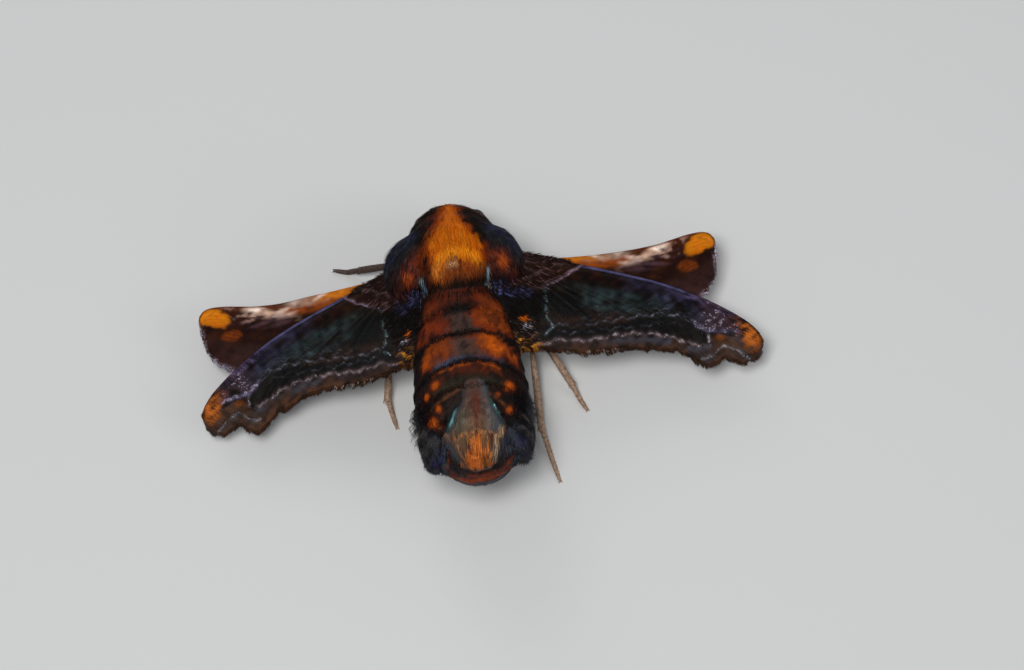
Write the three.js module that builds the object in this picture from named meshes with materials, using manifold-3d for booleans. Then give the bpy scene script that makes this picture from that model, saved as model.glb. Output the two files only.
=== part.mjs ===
// A hawk moth at rest, life size: a stout, humped body on six bent legs, the tail curled up, the
// forewings swept back and drooping, and the hindwings pushed out in front of them.
// Millimetres. +X is the moth's right, +Y is towards its head and +Z is up from the floor at z = 0.
// The moth is drawn about its midline and its waist, at x = 0, y = 0. At the end it is moved so that
// the origin is under the middle of its bounding box.
import * as THREE from "three";
import { mergeVertices } from "three/addons/utils/BufferGeometryUtils.js";
import Module from "manifold-3d";

const wasm = await Module();
wasm.setup();

// ---- Driving dimensions ----
const SEAM = 0.08; // clear gap between two pieces that meet
const SLIVER = 0.03; // detail finer than this is smoothed away where pieces are cut
const WING_THICKNESS = 0.55;
// An egg has the place of its centre, its three half lengths, and how far it noses down and turns out.
const THORAX = { at: [0, 3.85, 7.6], semi: [5.7, 6.25, 5.9], down: 21, out: 0 };
const TEGULA = { at: [3.75, 3.65, 8.2], semi: [3.3, 4.2, 4.15], down: 24, out: -30 };
const HEAD = { at: [0, 8.2, 4.75], semi: [3.4, 3.0, 3.2], down: 21, out: 0 };
const EYE = { at: [2.5, 8.8, 4.3], semi: [1.55, 1.55, 1.55], down: 0, out: 0 };
const TAIL_CREST = { at: [0, -15.0, 10.3], semi: [3.15, 5.7, 2.9], down: 26, out: 0 };
const TAIL_TUFT = { at: [4.2, -15.6, 8.6], semi: [1.95, 3.6, 2.7], down: 22, out: 0 };
const FOOT_RADIUS = 0.3; // half the thickness of a tarsus
const SOLE_AXIS = 0.2; // height of a tarsus's centreline where it lies flat on the floor

// ---- Colours ----
const finish = (color, roughness) => new THREE.MeshStandardMaterial({ color, roughness, metalness: 0 });
const ORANGE_FUR = finish(0xb4570c, 0.9);
const UMBER_FUR = finish(0x3a1c10, 0.9);
const BLACK_FUR = finish(0x14100f, 0.9);
const CREST_GREY = finish(0x5a4a44, 0.9);
const WING_BROWN = finish(0x241712, 0.6);
const HINDWING_RUST = finish(0x5a2a16, 0.6);
const EYE_GLOSS = finish(0x120c0a, 0.2);
const LEG_TAN = finish(0x6d4a38, 0.7);

const moth = new THREE.Group();

// ---- Turning geometries into solids and back ----
function solidOf(geometry) {
  geometry.deleteAttribute("normal");
  geometry.deleteAttribute("uv");
  const merged = mergeVertices(geometry, 1e-4);
  return new wasm.Manifold(
    new wasm.Mesh({
      numProp: 3,
      vertProperties: merged.attributes.position.array,
      triVerts: new Uint32Array(merged.index.array),
    }),
  );
}

function geometryOf(solid) {
  const mesh = solid.getMesh();
  const geometry = new THREE.BufferGeometry();
  geometry.setAttribute("position", new THREE.BufferAttribute(mesh.vertProperties, 3));
  geometry.setIndex(new THREE.BufferAttribute(mesh.triVerts, 1));
  geometry.computeVertexNormals();
  return geometry;
}

// The largest body of a cut solid, without the crumbs that a cut can leave.
function largest(solid) {
  return solid.decompose().sort((a, b) => b.volume() - a.volume())[0];
}

function add(name, solid, material) {
  const mesh = new THREE.Mesh(geometryOf(largest(solid).simplify(SLIVER)), material);
  mesh.name = name;
  moth.add(mesh);
}

// Pieces are placed in turn. Each takes its own space and a seam's width round it, and is cut away
// where an earlier piece already is. A shape is a function of how much to grow it by.
const taken = [];
const fitted = (solid) => taken.reduce((rest, cutter) => rest.subtract(cutter), solid);
function place(name, shape, material) {
  add(name, fitted(shape(0)), material);
  taken.push(shape(SEAM));
}

// ---- Shapes ----
// Moves every vertex of a geometry by a function.
function reshape(geometry, where) {
  const position = geometry.attributes.position;
  const vertex = new THREE.Vector3();
  for (let i = 0; i < position.count; i += 1) {
    vertex.fromBufferAttribute(position, i);
    const moved = where(vertex);
    position.setXYZ(i, moved.x, moved.y, moved.z);
  }
  return geometry;
}

// An egg shape, mirrored to the left when side is -1.
const egg = ({ at, semi, down, out }, side, around, along) => (grow) => {
  const geometry = new THREE.SphereGeometry(1, around, along);
  geometry.scale(semi[0] + grow, semi[1] + grow, semi[2] + grow);
  geometry.rotateX(THREE.MathUtils.degToRad(-down));
  geometry.rotateZ(THREE.MathUtils.degToRad(-out * side));
  geometry.translate(side * at[0], at[1], at[2]);
  return solidOf(geometry);
};

// A smooth curve through rows of numbers, read by a fraction from 0 at the first row to 1 at the last.
function smoothRows(rows) {
  const last = rows.length - 1;
  const curve = new THREE.CubicInterpolant(rows.map((_, i) => i / last), rows.flat(), rows[0].length);
  return (fraction) => Array.from(curve.evaluate(fraction));
}

// A closed skin over rings laid along a path, with a point at either end. A ring is a function of the
// angle round it.
function skinOver(rings, sides) {
  const geometry = new THREE.SphereGeometry(1, sides, rings.length - 1);
  return solidOf(
    reshape(geometry, (v) => {
      const polar = Math.acos(THREE.MathUtils.clamp(v.y, -1, 1)) / Math.PI;
      return rings[Math.round(polar * (rings.length - 1))](Math.atan2(v.z, v.x));
    }),
  );
}

// A limb or feeler: a round bar along a curve, with blunt ends and radii given along its length.
const limb = (points, radii, sides = 6, steps = 5) => (grow) => {
  const curve = new THREE.CatmullRomCurve3(points.map((p) => new THREE.Vector3(...p)));
  const radiusAt = smoothRows(radii.map((r) => [r]));
  const frames = curve.computeFrenetFrames(steps);
  const rings = Array.from({ length: steps + 1 }, (_, i) => {
    const f = (1 - Math.cos((Math.PI * i) / steps)) / 2;
    const centre = curve.getPointAt(f);
    const cap = Math.min(1, Math.sin((Math.PI * i) / steps) ** 0.3);
    const radius = i === 0 || i === steps ? 0 : cap * (radiusAt(f)[0] + grow);
    return (turn) =>
      centre
        .clone()
        .addScaledVector(frames.normals[i], radius * Math.cos(turn))
        .addScaledVector(frames.binormals[i], radius * Math.sin(turn));
  });
  return skinOver(rings, sides);
};
const mirrored = (points, side) => points.map(([x, y, z]) => [side * x, y, z]);

// ---- Abdomen: modelled whole from the waist to the tail, then parted in four lengths ----
// Each row is a section square to the spine: the spine's place along Y and its height, then the
// half width and the reach from the spine up to the back and down to the belly.
const ABDOMEN = [
  [2.4, 8.3, 0.0, 0.0, 0.0],
  [1.6, 8.3, 3.2, 3.1, 3.3],
  [-1.4, 8.0, 4.5, 3.9, 4.0],
  [-4.7, 7.5, 5.25, 4.2, 4.2],
  [-8.0, 7.4, 5.7, 4.3, 4.3],
  [-11.2, 7.9, 5.8, 4.0, 4.4],
  [-14.0, 8.7, 5.4, 3.2, 4.6],
  [-16.6, 9.6, 4.7, 2.1, 4.5],
  [-18.9, 10.3, 3.6, 1.1, 3.7],
  [-20.1, 10.7, 0.0, 0.0, 0.0],
];
const TERGITE_RINGS = [0.2, 0.33, 0.46, 0.585, 0.7]; // hind margins, as fractions of the rows
const TERGITE_STEP = 0.17; // how far each hind margin stands out over the next segment
const PARTINGS = [1, 2, 3]; // the margins at which the abdomen is parted
const ABDOMEN_NAMES = ["abdomen_base", "abdomen_front", "abdomen_middle", "abdomen_end"];
const ABDOMEN_SIDES = 18;

const section = smoothRows(ABDOMEN);

// The spine's centre, the way it runs towards the tail, and the way to the back, at a fraction.
function spineAt(fraction) {
  const [y, z] = section(fraction);
  const [yBefore, zBefore] = section(Math.max(0, fraction - 0.02));
  const [yAfter, zAfter] = section(Math.min(1, fraction + 0.02));
  const tailward = new THREE.Vector3(0, yAfter - yBefore, zAfter - zBefore).normalize();
  const backward = new THREE.Vector3(0, tailward.z, -tailward.y);
  return { centre: new THREE.Vector3(0, y, z), tailward, backward };
}

// Fractions at which rings of the skin are laid: a few on each segment and one each side of a margin.
function abdomenFractions() {
  const edges = [0.04, ...TERGITE_RINGS, 0.975];
  const fractions = edges.slice(0, -1).flatMap((start, i) => {
    const end = edges[i + 1];
    const steps = i === edges.length - 2 ? 7 : 3;
    return Array.from({ length: steps }, (_, k) => start + 0.006 + ((end - start - 0.008) * k) / (steps - 1));
  });
  return [0, 0.025, ...fractions, 0.99, 1];
}

function tergiteStep(fraction) {
  const next = TERGITE_RINGS.findIndex((ring) => fraction < ring);
  if (next < 1) return 0;
  const before = TERGITE_RINGS[next - 1];
  return (TERGITE_STEP * (fraction - before)) / (TERGITE_RINGS[next] - before);
}

function abdomenSolid(grow) {
  const rings = abdomenFractions().map((fraction) => {
    const { centre, backward } = spineAt(fraction);
    const [, , halfWidth, up, down] = section(fraction);
    const closed = fraction === 0 || fraction === 1;
    const extra = tergiteStep(fraction) + grow;
    const reach = (value) => (closed ? 0 : Math.max(0.2, value) + extra);
    return (turn) => {
      const lift = Math.sin(turn) > 0 ? reach(up) : reach(down);
      const point = centre.clone().addScaledVector(backward, lift * Math.sin(turn));
      point.x += reach(halfWidth) * Math.cos(turn);
      return point;
    };
  });
  return skinOver(rings, ABDOMEN_SIDES);
}

function partedAbdomen() {
  const knives = PARTINGS.map((i) => {
    const { centre, backward } = spineAt(TERGITE_RINGS[i]);
    const knife = new THREE.BoxGeometry(20, SEAM, 20);
    knife.rotateX(Math.atan2(-backward.y, backward.z));
    knife.translate(0, centre.y, centre.z);
    return solidOf(knife);
  });
  return knives
    .reduce((rest, knife) => rest.subtract(knife), largest(fitted(abdomenSolid(0))))
    .decompose()
    .sort((a, b) => b.volume() - a.volume())
    .slice(0, ABDOMEN_NAMES.length)
    .sort((a, b) => b.boundingBox().max[1] - a.boundingBox().max[1]);
}

// ---- Mouthparts and antennae ----
// The palps curve up in front of the face from under the head.
const PALP = [[1.0, 8.0, 1.9], [1.1, 9.8, 1.6], [1.15, 11.0, 2.3], [1.0, 11.3, 3.8]];
const PALP_RADII = [0.7, 0.95, 1.0, 0.6];
const PROBOSCIS = { centre: [0, 11.5, 2.0], radius: 0.85, thickness: 0.5 };
// The antennae lie back from the brow along the flanks, under the wings.
const ANTENNA = [
  [1.9, 9.9, 6.0],
  [3.1, 9.6, 6.2],
  [4.5, 8.6, 5.7],
  [5.7, 7.0, 5.0],
  [6.4, 4.8, 4.5],
  [6.5, 2.6, 4.1],
  [6.2, 0.4, 3.9],
];
const ANTENNA_RADII = [0.25, 0.27, 0.32, 0.38, 0.36, 0.25];
const palp = (side) => limb(mirrored(PALP, side), PALP_RADII, 8, 7);
const antenna = (side) => limb(mirrored(ANTENNA, side), ANTENNA_RADII, 6, 14);

function proboscis(grow) {
  const { centre, radius, thickness } = PROBOSCIS;
  const bevel = 0.18;
  const half = thickness / 2 + grow;
  const rim = radius + grow;
  const profile = [
    new THREE.Vector2(0, -half),
    new THREE.Vector2(rim - bevel, -half),
    new THREE.Vector2(rim, -half + bevel),
    new THREE.Vector2(rim, half - bevel),
    new THREE.Vector2(rim - bevel, half),
    new THREE.Vector2(0, half),
  ];
  const geometry = new THREE.LatheGeometry(profile, 12);
  geometry.rotateZ(Math.PI / 2);
  geometry.translate(...centre);
  return solidOf(geometry);
}

// ---- Wings ----
// Each outline runs from the root to the tip in plan: the leading edge, then the trailing edge.
// Points at the same share of the two edges are joined by a chord.
const FOREWING = {
  leading: [
    [3.6, 4.3], [7.2, 3.2], [11, 2.1], [15, 0.9], [20.3, -0.9], [24.6, -3.0], [28.0, -5.3], [29.5, -7.0],
  ],
  trailing: [
    [4.2, -6.9], [6.9, -6.6], [8.9, -7.0], [11, -7.3], [14.6, -7.1], [17.5, -7.2], [20.7, -7.8], [22.2, -8.7],
    [23.7, -9.7], [25.5, -9.1], [27.2, -9.6], [28.8, -9.3], [29.6, -8.2],
  ],
  rootHeight: 9.5,
  camber: 0.7,
};
const HINDWING = {
  leading: [
    [3.6, 3.6], [7.2, 3.15], [10.4, 2.95], [15, 3.0], [20, 3.6], [23.8, 4.55], [25.6, 4.6], [26.4, 3.7],
  ],
  trailing: [
    [4.2, -5.4], [7.2, -6.0], [11, -6.0], [15, -5.5], [20, -4.2], [23.6, -2.5], [25.3, -0.9], [26.1, 0.8],
  ],
  rootHeight: 8.1,
  camber: 0.35,
};
// The left wings hang lower than the right ones, and are swept back a little more. A wing's fall is
// how much lower its trailing edge is than its leading edge.
const SIDES = {
  left: {
    sign: -1,
    fore: { reach: 0.915, sweep: 0, droop: 5.9, fall: 1.8 },
    hind: { reach: 1, sweep: 0.044, droop: 5.0, fall: 0.8 },
  },
  right: {
    sign: 1,
    fore: { reach: 1, sweep: 0, droop: 4.7, fall: 1.8 },
    hind: { reach: 1, sweep: 0, droop: 3.7, fall: 1.3 },
  },
};
const WING_SPAN = 29.6; // from the midline to the tip in plan, where the droop is measured

const wing = (plan, sign, { reach, sweep, droop, fall }, spanSteps, chordSteps) => (grow) => {
  const leading = new THREE.SplineCurve(plan.leading.map(([x, y]) => new THREE.Vector2(x, y)));
  const trailing = new THREE.SplineCurve(plan.trailing.map(([x, y]) => new THREE.Vector2(x, y)));
  const root = new THREE.Vector2(plan.leading[0][0], 0);
  const geometry = new THREE.BoxGeometry(1, 1, 1, spanSteps, chordSteps, 1);
  reshape(geometry, (v) => {
    const s = v.x + 0.5;
    const t = 0.5 - v.y;
    const { x, y } = leading.getPointAt(s).lerp(trailing.getPointAt(s), t).rotateAround(root, -sweep);
    const out = x / WING_SPAN;
    const bend = droop * (0.55 * out + 0.45 * out * out);
    const height = plan.rootHeight - bend - fall * t + plan.camber * Math.sin(Math.PI * t);
    return new THREE.Vector3(x * reach, y, height + v.z * (WING_THICKNESS + 2 * grow));
  });
  if (sign < 0) {
    geometry.scale(-1, 1, 1);
    const index = geometry.index.array;
    for (let i = 0; i < index.length; i += 3) [index[i + 1], index[i + 2]] = [index[i + 2], index[i + 1]];
  }
  return solidOf(geometry);
};

// ---- Legs: each a femur, a tibia and a tarsus whose last stretch lies flat on the floor ----
// A leg's points are its hip, knee, ankle and toe. A toe is on the floor.
const LEGS = {
  fore_left: [[-2.6, 5.4, 3.4], [-5.8, 6.0, 4.0], [-9.5, 7.0, 1.4], [-12.6, 7.9]],
  fore_right: [[2.6, 5.4, 3.4], [5.0, 6.4, 3.6], [5.9, 7.4, 1.4], [6.0, 8.8]],
  mid_left: [[-2.6, 2.2, 3.2], [-7.2, -0.5, 4.4], [-8.5, -7.2, 1.2], [-7.9, -10.3]],
  mid_right: [[2.6, 2.2, 3.2], [6.4, -1.2, 4.5], [10.0, -8.0, 1.3], [11.4, -11.0]],
  hind_left: [[-2.4, -0.2, 4.0], [-5.6, -3.4, 3.0], [-4.4, -9.6, 1.1], [-4.2, -13.6]],
  hind_right: [[2.4, -0.2, 4.0], [6.6, -4.0, 3.2], [6.5, -12.4, 1.4], [7.7, -18.2]],
};
const FEMUR_RADII = [0.55, 0.62, 0.45];
const TIBIA_RADII = [0.4, 0.5, 0.42];
const TARSUS_RADII = [FOOT_RADIUS, FOOT_RADIUS, FOOT_RADIUS - 0.02];
const FLAT_SHARE = 0.45; // how much of the tarsus lies flat

const BONE_OVERLAP = 0.3; // how far a bone runs on past a joint, before it is fitted to the next

const between = (a, b, share) => a.map((value, i) => value + (b[i] - value) * share);
function past(from, to) {
  const length = Math.hypot(...from.map((value, i) => to[i] - value));
  return between(from, to, 1 + BONE_OVERLAP / length);
}

const aboveFloor = new THREE.BoxGeometry(80, 80, 40);
aboveFloor.translate(0, 0, 20);
const room = solidOf(aboveFloor);

function placeLeg(leg, [hip, knee, ankle, toe]) {
  const tip = [...toe, SOLE_AXIS];
  const heel = [...between(toe, ankle.slice(0, 2), FLAT_SHARE), SOLE_AXIS];
  const tarsus = limb([past(heel, ankle), heel, tip], TARSUS_RADII);
  const tibia = limb([past(ankle, knee), between(knee, ankle, 0.5), past(knee, ankle)], TIBIA_RADII);
  place(`femur_${leg}`, limb([hip, between(hip, knee, 0.5), past(hip, knee)], FEMUR_RADII), UMBER_FUR);
  place(`tibia_${leg}`, tibia, LEG_TAN);
  place(`tarsus_${leg}`, (grow) => tarsus(grow).intersect(room), LEG_TAN);
}

// ---- Putting the moth together ----
place("eye_left", egg(EYE, -1, 14, 10), EYE_GLOSS);
place("eye_right", egg(EYE, 1, 14, 10), EYE_GLOSS);
place("tegula_left", egg(TEGULA, -1, 14, 10), BLACK_FUR);
place("tegula_right", egg(TEGULA, 1, 14, 10), BLACK_FUR);
place("thorax", egg(THORAX, 1, 20, 12), ORANGE_FUR);
place("tail_crest", egg(TAIL_CREST, 1, 14, 12), CREST_GREY);
place("tail_tuft_left", egg(TAIL_TUFT, -1, 12, 8), BLACK_FUR);
place("tail_tuft_right", egg(TAIL_TUFT, 1, 12, 8), BLACK_FUR);
partedAbdomen().forEach((piece, i) => add(ABDOMEN_NAMES[i], piece, UMBER_FUR));
taken.push(abdomenSolid(SEAM));
place("palp_left", palp(-1), UMBER_FUR);
place("palp_right", palp(1), UMBER_FUR);
place("proboscis", proboscis, LEG_TAN);
place("antenna_left", antenna(-1), LEG_TAN);
place("antenna_right", antenna(1), LEG_TAN);
place("head", egg(HEAD, 1, 14, 10), UMBER_FUR);
Object.entries(SIDES).forEach(([side, { sign, fore, hind }]) => {
  place(`forewing_${side}`, wing(FOREWING, sign, fore, 22, 3), WING_BROWN);
  place(`hindwing_${side}`, wing(HINDWING, sign, hind, 16, 3), HINDWING_RUST);
});
Object.entries(LEGS).forEach(([leg, points]) => placeLeg(leg, points));

const box = new THREE.Box3().setFromObject(moth);
moth.position.set(-(box.min.x + box.max.x) / 2, -(box.min.y + box.max.y) / 2, 0);

export default moth;
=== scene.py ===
import math

import bpy
import numpy as np
from mathutils import Matrix, Vector
from mathutils.bvhtree import BVHTree


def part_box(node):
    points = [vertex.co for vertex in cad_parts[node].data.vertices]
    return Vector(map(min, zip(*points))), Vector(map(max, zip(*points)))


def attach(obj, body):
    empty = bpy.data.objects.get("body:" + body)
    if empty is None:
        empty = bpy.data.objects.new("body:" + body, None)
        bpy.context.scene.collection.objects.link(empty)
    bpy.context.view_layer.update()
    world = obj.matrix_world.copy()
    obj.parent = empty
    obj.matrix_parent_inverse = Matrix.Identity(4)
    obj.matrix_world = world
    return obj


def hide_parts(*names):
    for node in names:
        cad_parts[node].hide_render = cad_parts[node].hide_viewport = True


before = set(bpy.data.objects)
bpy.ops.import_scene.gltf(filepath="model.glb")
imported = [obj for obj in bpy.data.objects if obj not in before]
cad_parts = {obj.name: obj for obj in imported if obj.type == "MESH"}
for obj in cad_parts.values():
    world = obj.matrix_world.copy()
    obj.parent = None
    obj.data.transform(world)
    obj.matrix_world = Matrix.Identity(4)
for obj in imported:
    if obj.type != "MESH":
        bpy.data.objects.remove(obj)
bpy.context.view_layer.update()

# ---- The camera ----
# It looks down on the moth's back from behind, 68 degrees above the floor, and is rolled a little so
# that the head leans to the left. The moth is drawn in millimetres about its midline and its waist,
# and the middle of its two eyes says where that waist is in the room.
MM = 0.001
eye_middle = sum((corner for side in ("left", "right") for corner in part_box(f"eye_{side}")), Vector()) / 4
waist = np.array([eye_middle.x, eye_middle.y - 8.8 * MM, 0.0])

aim = Vector((3.514, -0.362, 6.654)) * MM
tilt = math.radians(68)
roll = math.radians(7.4)
camera_distance = 0.45
away = Vector((0, -math.cos(tilt), math.sin(tilt)))
level = Vector((1, 0, 0))
upward = away.cross(level)
across = math.cos(roll) * level - math.sin(roll) * upward
upright = math.sin(roll) * level + math.cos(roll) * upward
bpy.ops.object.camera_add(location=aim + camera_distance * away)
camera = bpy.context.object
camera.rotation_euler = Matrix((across, upright, away)).transposed().to_euler()
camera.data.lens = 158.2
camera.data.sensor_width = 36
camera.data.clip_start = 0.01
camera.data.clip_end = 10
bpy.context.scene.camera = camera

# ---- The body's skin ----
# Head, thorax, shoulder flaps, abdomen, tail bud, tail tufts and palps are one soft body under the
# coat. The pieces are grown until they touch, made into one closed skin, smoothed, and drawn in by
# the depth of the coat that covers each of them.
FLESH = [
    "thorax", "tegula_left", "tegula_right", "head", "palp_left", "palp_right", "abdomen_base",
    "abdomen_front", "abdomen_middle", "abdomen_end", "tail_crest", "tail_tuft_left", "tail_tuft_right"
]
COAT_DEPTH = {
    "thorax": 0.42, "tegula": 0.42, "head": 0.3, "palp": 0.2, "abdomen": 0.24, "crest": 0.3, "tuft": 0.45
}
KINDS = list(COAT_DEPTH)
GROWN = 0.28
MERGE_WITHIN = 1e-6


def kind_of(node):
    if node.startswith("tail_"):
        return node.split("_")[1]
    return node.split("_")[0]


def choose(*pieces):
    bpy.ops.object.select_all(action="DESELECT")
    for piece in pieces:
        piece.select_set(True)
    bpy.context.view_layer.objects.active = pieces[-1]


def apply_all(piece):
    choose(piece)
    for modifier in list(piece.modifiers):
        bpy.ops.object.modifier_apply(modifier=modifier.name)


# Runs an edit-mode operator on the whole of the active piece.
def edit_whole(operator, **settings):
    bpy.ops.object.mode_set(mode="EDIT")
    bpy.ops.mesh.select_all(action="SELECT")
    operator(**settings)
    bpy.ops.object.mode_set(mode="OBJECT")


def read_points(mesh, what="co"):
    values = np.zeros(len(mesh.vertices) * 3, np.float32)
    if what == "co":
        mesh.vertices.foreach_get("co", values)
    else:
        mesh.vertex_normals.foreach_get("vector", values)
    return values.reshape(-1, 3).astype(float)


def unit(ways):
    return ways / np.linalg.norm(ways, axis=1)[:, None]


def write_points(mesh, points):
    mesh.vertices.foreach_set("co", points.astype(np.float32).ravel())
    mesh.update()


# A smooth line through points, read at shares of its points from 0 to 1.
def smooth_line(points, shares):
    points = np.array(points, float)
    last = len(points) - 1
    place = np.clip(shares, 0, 1) * last
    start = np.minimum(place.astype(int), last - 1)
    part = (place - start)[:, None]
    before = points[np.maximum(start - 1, 0)]
    here, after = points[start], points[start + 1]
    beyond = points[np.minimum(start + 2, last)]
    leaving, arriving = (after - before) / 2, (beyond - here) / 2
    bend = (2 * here - 2 * after + leaving + arriving) * part**3
    return bend + (3 * after - 3 * here - 2 * leaving - arriving) * part**2 + leaving * part + here


# The abdomen's spine, as places along the body and heights. It rises towards the curled tail.
SPINE = [
    [2.4, 8.3], [1.6, 8.3], [-1.4, 8.0], [-4.7, 7.5], [-8.0, 7.4], [-11.2, 7.9], [-14.0, 8.7],
    [-16.6, 9.6], [-18.9, 10.3], [-20.1, 10.7]
]
FIRST_PLATE = 0.13
RINGS = [0.237, 0.337, 0.472, 0.58, 0.69]
spine_shares = np.linspace(0, 1, 500)
spine = smooth_line(SPINE, spine_shares)
spine_way = np.gradient(spine, axis=0)
spine_way = unit(spine_way)


# How far along the abdomen points lie, how far round it from the middle of the back in degrees, to
# the right, and which way the spine runs there.
def along_abdomen(drawn):
    nearest = np.zeros(len(drawn), int)
    for start in range(0, len(drawn), 20000):
        some = drawn[start : start + 20000, None, 1:] - spine[None]
        nearest[start : start + 20000] = (some**2).sum(2).argmin(1)
    way = spine_way[nearest]
    lift = (drawn[:, 1] - spine[nearest, 0]) * way[:, 1] - (drawn[:, 2] - spine[nearest, 1]) * way[:, 0]
    turn = np.degrees(np.arctan2(drawn[:, 0], lift))
    return spine_shares[nearest], turn, way


# The back plates' hind edges bend back towards the flanks: shares that are level along such an edge.
def plate_share(share, turn):
    return share - 0.05 * (1 - np.cos(np.radians(turn)))


copies = []
for node in FLESH:
    copy = bpy.data.objects.new(f"flesh_{node}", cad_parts[node].data.copy())
    bpy.context.scene.collection.objects.link(copy)
    copies.append(copy)
choose(*copies)
bpy.ops.object.join()
skin = bpy.context.object
skin.name = "body_skin"
edit_whole(bpy.ops.mesh.remove_doubles, threshold=MERGE_WITHIN)
grow = skin.modifiers.new("grow", "DISPLACE")
grow.mid_level = 0
grow.strength = GROWN * MM
close = skin.modifiers.new("close", "REMESH")
close.mode = "VOXEL"
close.voxel_size = 0.21 * MM
soften = skin.modifiers.new("soften", "SMOOTH")
soften.factor = 0.5
soften.iterations = 9
apply_all(skin)
skin.data.materials.clear()

trees = []
for node in FLESH:
    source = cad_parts[node].data
    trees.append(
        BVHTree.FromPolygons([v.co for v in source.vertices], [p.vertices[:] for p in source.polygons])
    )


def nearest_kind(points):
    kinds = np.zeros(len(points), int)
    for i, point in enumerate(points):
        spot = Vector(point)
        gaps = [tree.find_nearest(spot)[3] for tree in trees]
        kinds[i] = KINDS.index(kind_of(FLESH[gaps.index(min(gaps))]))
    return kinds


skin_points = read_points(skin.data)
skin_ways = read_points(skin.data, "normal")
skin_kinds = nearest_kind(skin_points)
depths = np.array(list(COAT_DEPTH.values()))[skin_kinds]

# Each back plate of the abdomen swells towards its hind edge and drops to the next one.
share, turn, way = along_abdomen((skin_points - waist) / MM)
level = plate_share(share, np.clip(turn, -100, 100))
swell = np.zeros(len(share))
for start, end in zip([FIRST_PLATE] + RINGS[:-1], RINGS):
    inside = (level >= start) & (level < end)
    swell[inside] = 0.2 * ((level[inside] - start) / (end - start)) ** 1.5 - 0.08
swell *= (skin_kinds == KINDS.index("abdomen")) & (level > FIRST_PLATE) & (level < RINGS[-1])

# The skin is a little fuller at the front of the thorax and at the end of the tail.
FULLER = (
    ("thorax", [-0.9, 9.1, 10.6], [3.2, 1.2, 1.5], 0.38),
    ("abdomen", [0.1, -20.2, 8.5], [2.2, 1.0, 1.6], 0.36),
)
for kind, centre, size, rise in FULLER:
    gap = (((skin_points - waist) / MM - centre) / size) ** 2
    swell += rise * np.exp(-gap.sum(1)) * (skin_kinds == KINDS.index(kind))
skin_points += skin_ways * ((swell - depths - GROWN) * MM)[:, None]
write_points(skin.data, skin_points)
settle = skin.modifiers.new("settle", "SMOOTH")
settle.factor = 0.5
settle.iterations = 2
apply_all(skin)
bpy.ops.object.shade_smooth()
edit_whole(bpy.ops.uv.smart_project, angle_limit=1.2, island_margin=0.002)
skin_points = read_points(skin.data)
skin_ways = read_points(skin.data, "normal")


# Paints, given as the eye sees them from 0 to 255 and kept as light.
def paint(red, green, blue):
    return (np.array([red, green, blue]) / 255) ** 2.2


AMBER = paint(232, 138, 26)
ORANGE = paint(190, 86, 8)
RUST = paint(122, 48, 8)
RED_BROWN = paint(84, 32, 10)
UMBER = paint(50, 28, 18)
SOOT = paint(17, 15, 13)
TEAL_BLACK = paint(26, 31, 32)
SLATE = paint(58, 64, 80)
VIOLET = paint(44, 46, 96)
MAUVE = paint(92, 68, 60)
OLIVE = paint(78, 74, 56)
TAN = paint(172, 122, 80)
STRAW = paint(218, 184, 140)
BELLY = paint(80, 52, 36)


# A gentle rise from 0 to 1 as a value goes from low to high.
def ease(value, low, high):
    part = np.clip((value - low) / (high - low), 0, 1)
    return part * part * (3 - 2 * part)


def within(value, low, high, soft):
    return ease(value, low - soft, low + soft) * (1 - ease(value, high - soft, high + soft))


# A soft uneven pattern over places in millimetres, between about -1 and 1.
def unevenness(drawn, size, seed):
    chance = np.random.default_rng(seed)
    total = np.zeros(len(drawn))
    for _ in range(9):
        way = chance.normal(size=drawn.shape[1]) * (2.4 / size)
        total += np.sin(drawn @ way + chance.uniform(0, 6.28))
    return total / 3.2


# Lays a colour over others by amounts from 0 to 1; layered does so with a stack of them.
def lay_on(colours, colour, amount):
    amount = np.clip(amount, 0, 1)[:, None]
    return colours * (1 - amount) + colour * amount


def layered(colours, *layers):
    for colour, amount in layers:
        colours = lay_on(colours, colour, amount)
    return colours


# A soft peak: 1 where a value is 0, and nearly 0 beyond twice its width.
def bell(value, width):
    return np.exp(-((value / width) ** 2))


def spot(drawn, centre, size):
    gap = (drawn - np.array(centre)) / np.array(size)
    return np.exp(-((gap**2).sum(1) ** 1.5))


# The bud of long scales on the tail: places in its own axes, as shares of its half sizes. It noses
# down into the back by 26 degrees.
CREST_CENTRE = np.array([0, -15.0, 10.3])
CREST_HALF = np.array([3.15, 5.7, 2.9])
CREST_WAY = np.array([0, -math.cos(math.radians(26)), math.sin(math.radians(26))])
CREST_UP = np.array([0, math.sin(math.radians(26)), math.cos(math.radians(26))])


def along_crest(drawn):
    gap = drawn - CREST_CENTRE
    return gap @ CREST_WAY / CREST_HALF[1], gap[:, 0] / CREST_HALF[0], gap @ CREST_UP / CREST_HALF[2]


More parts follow.
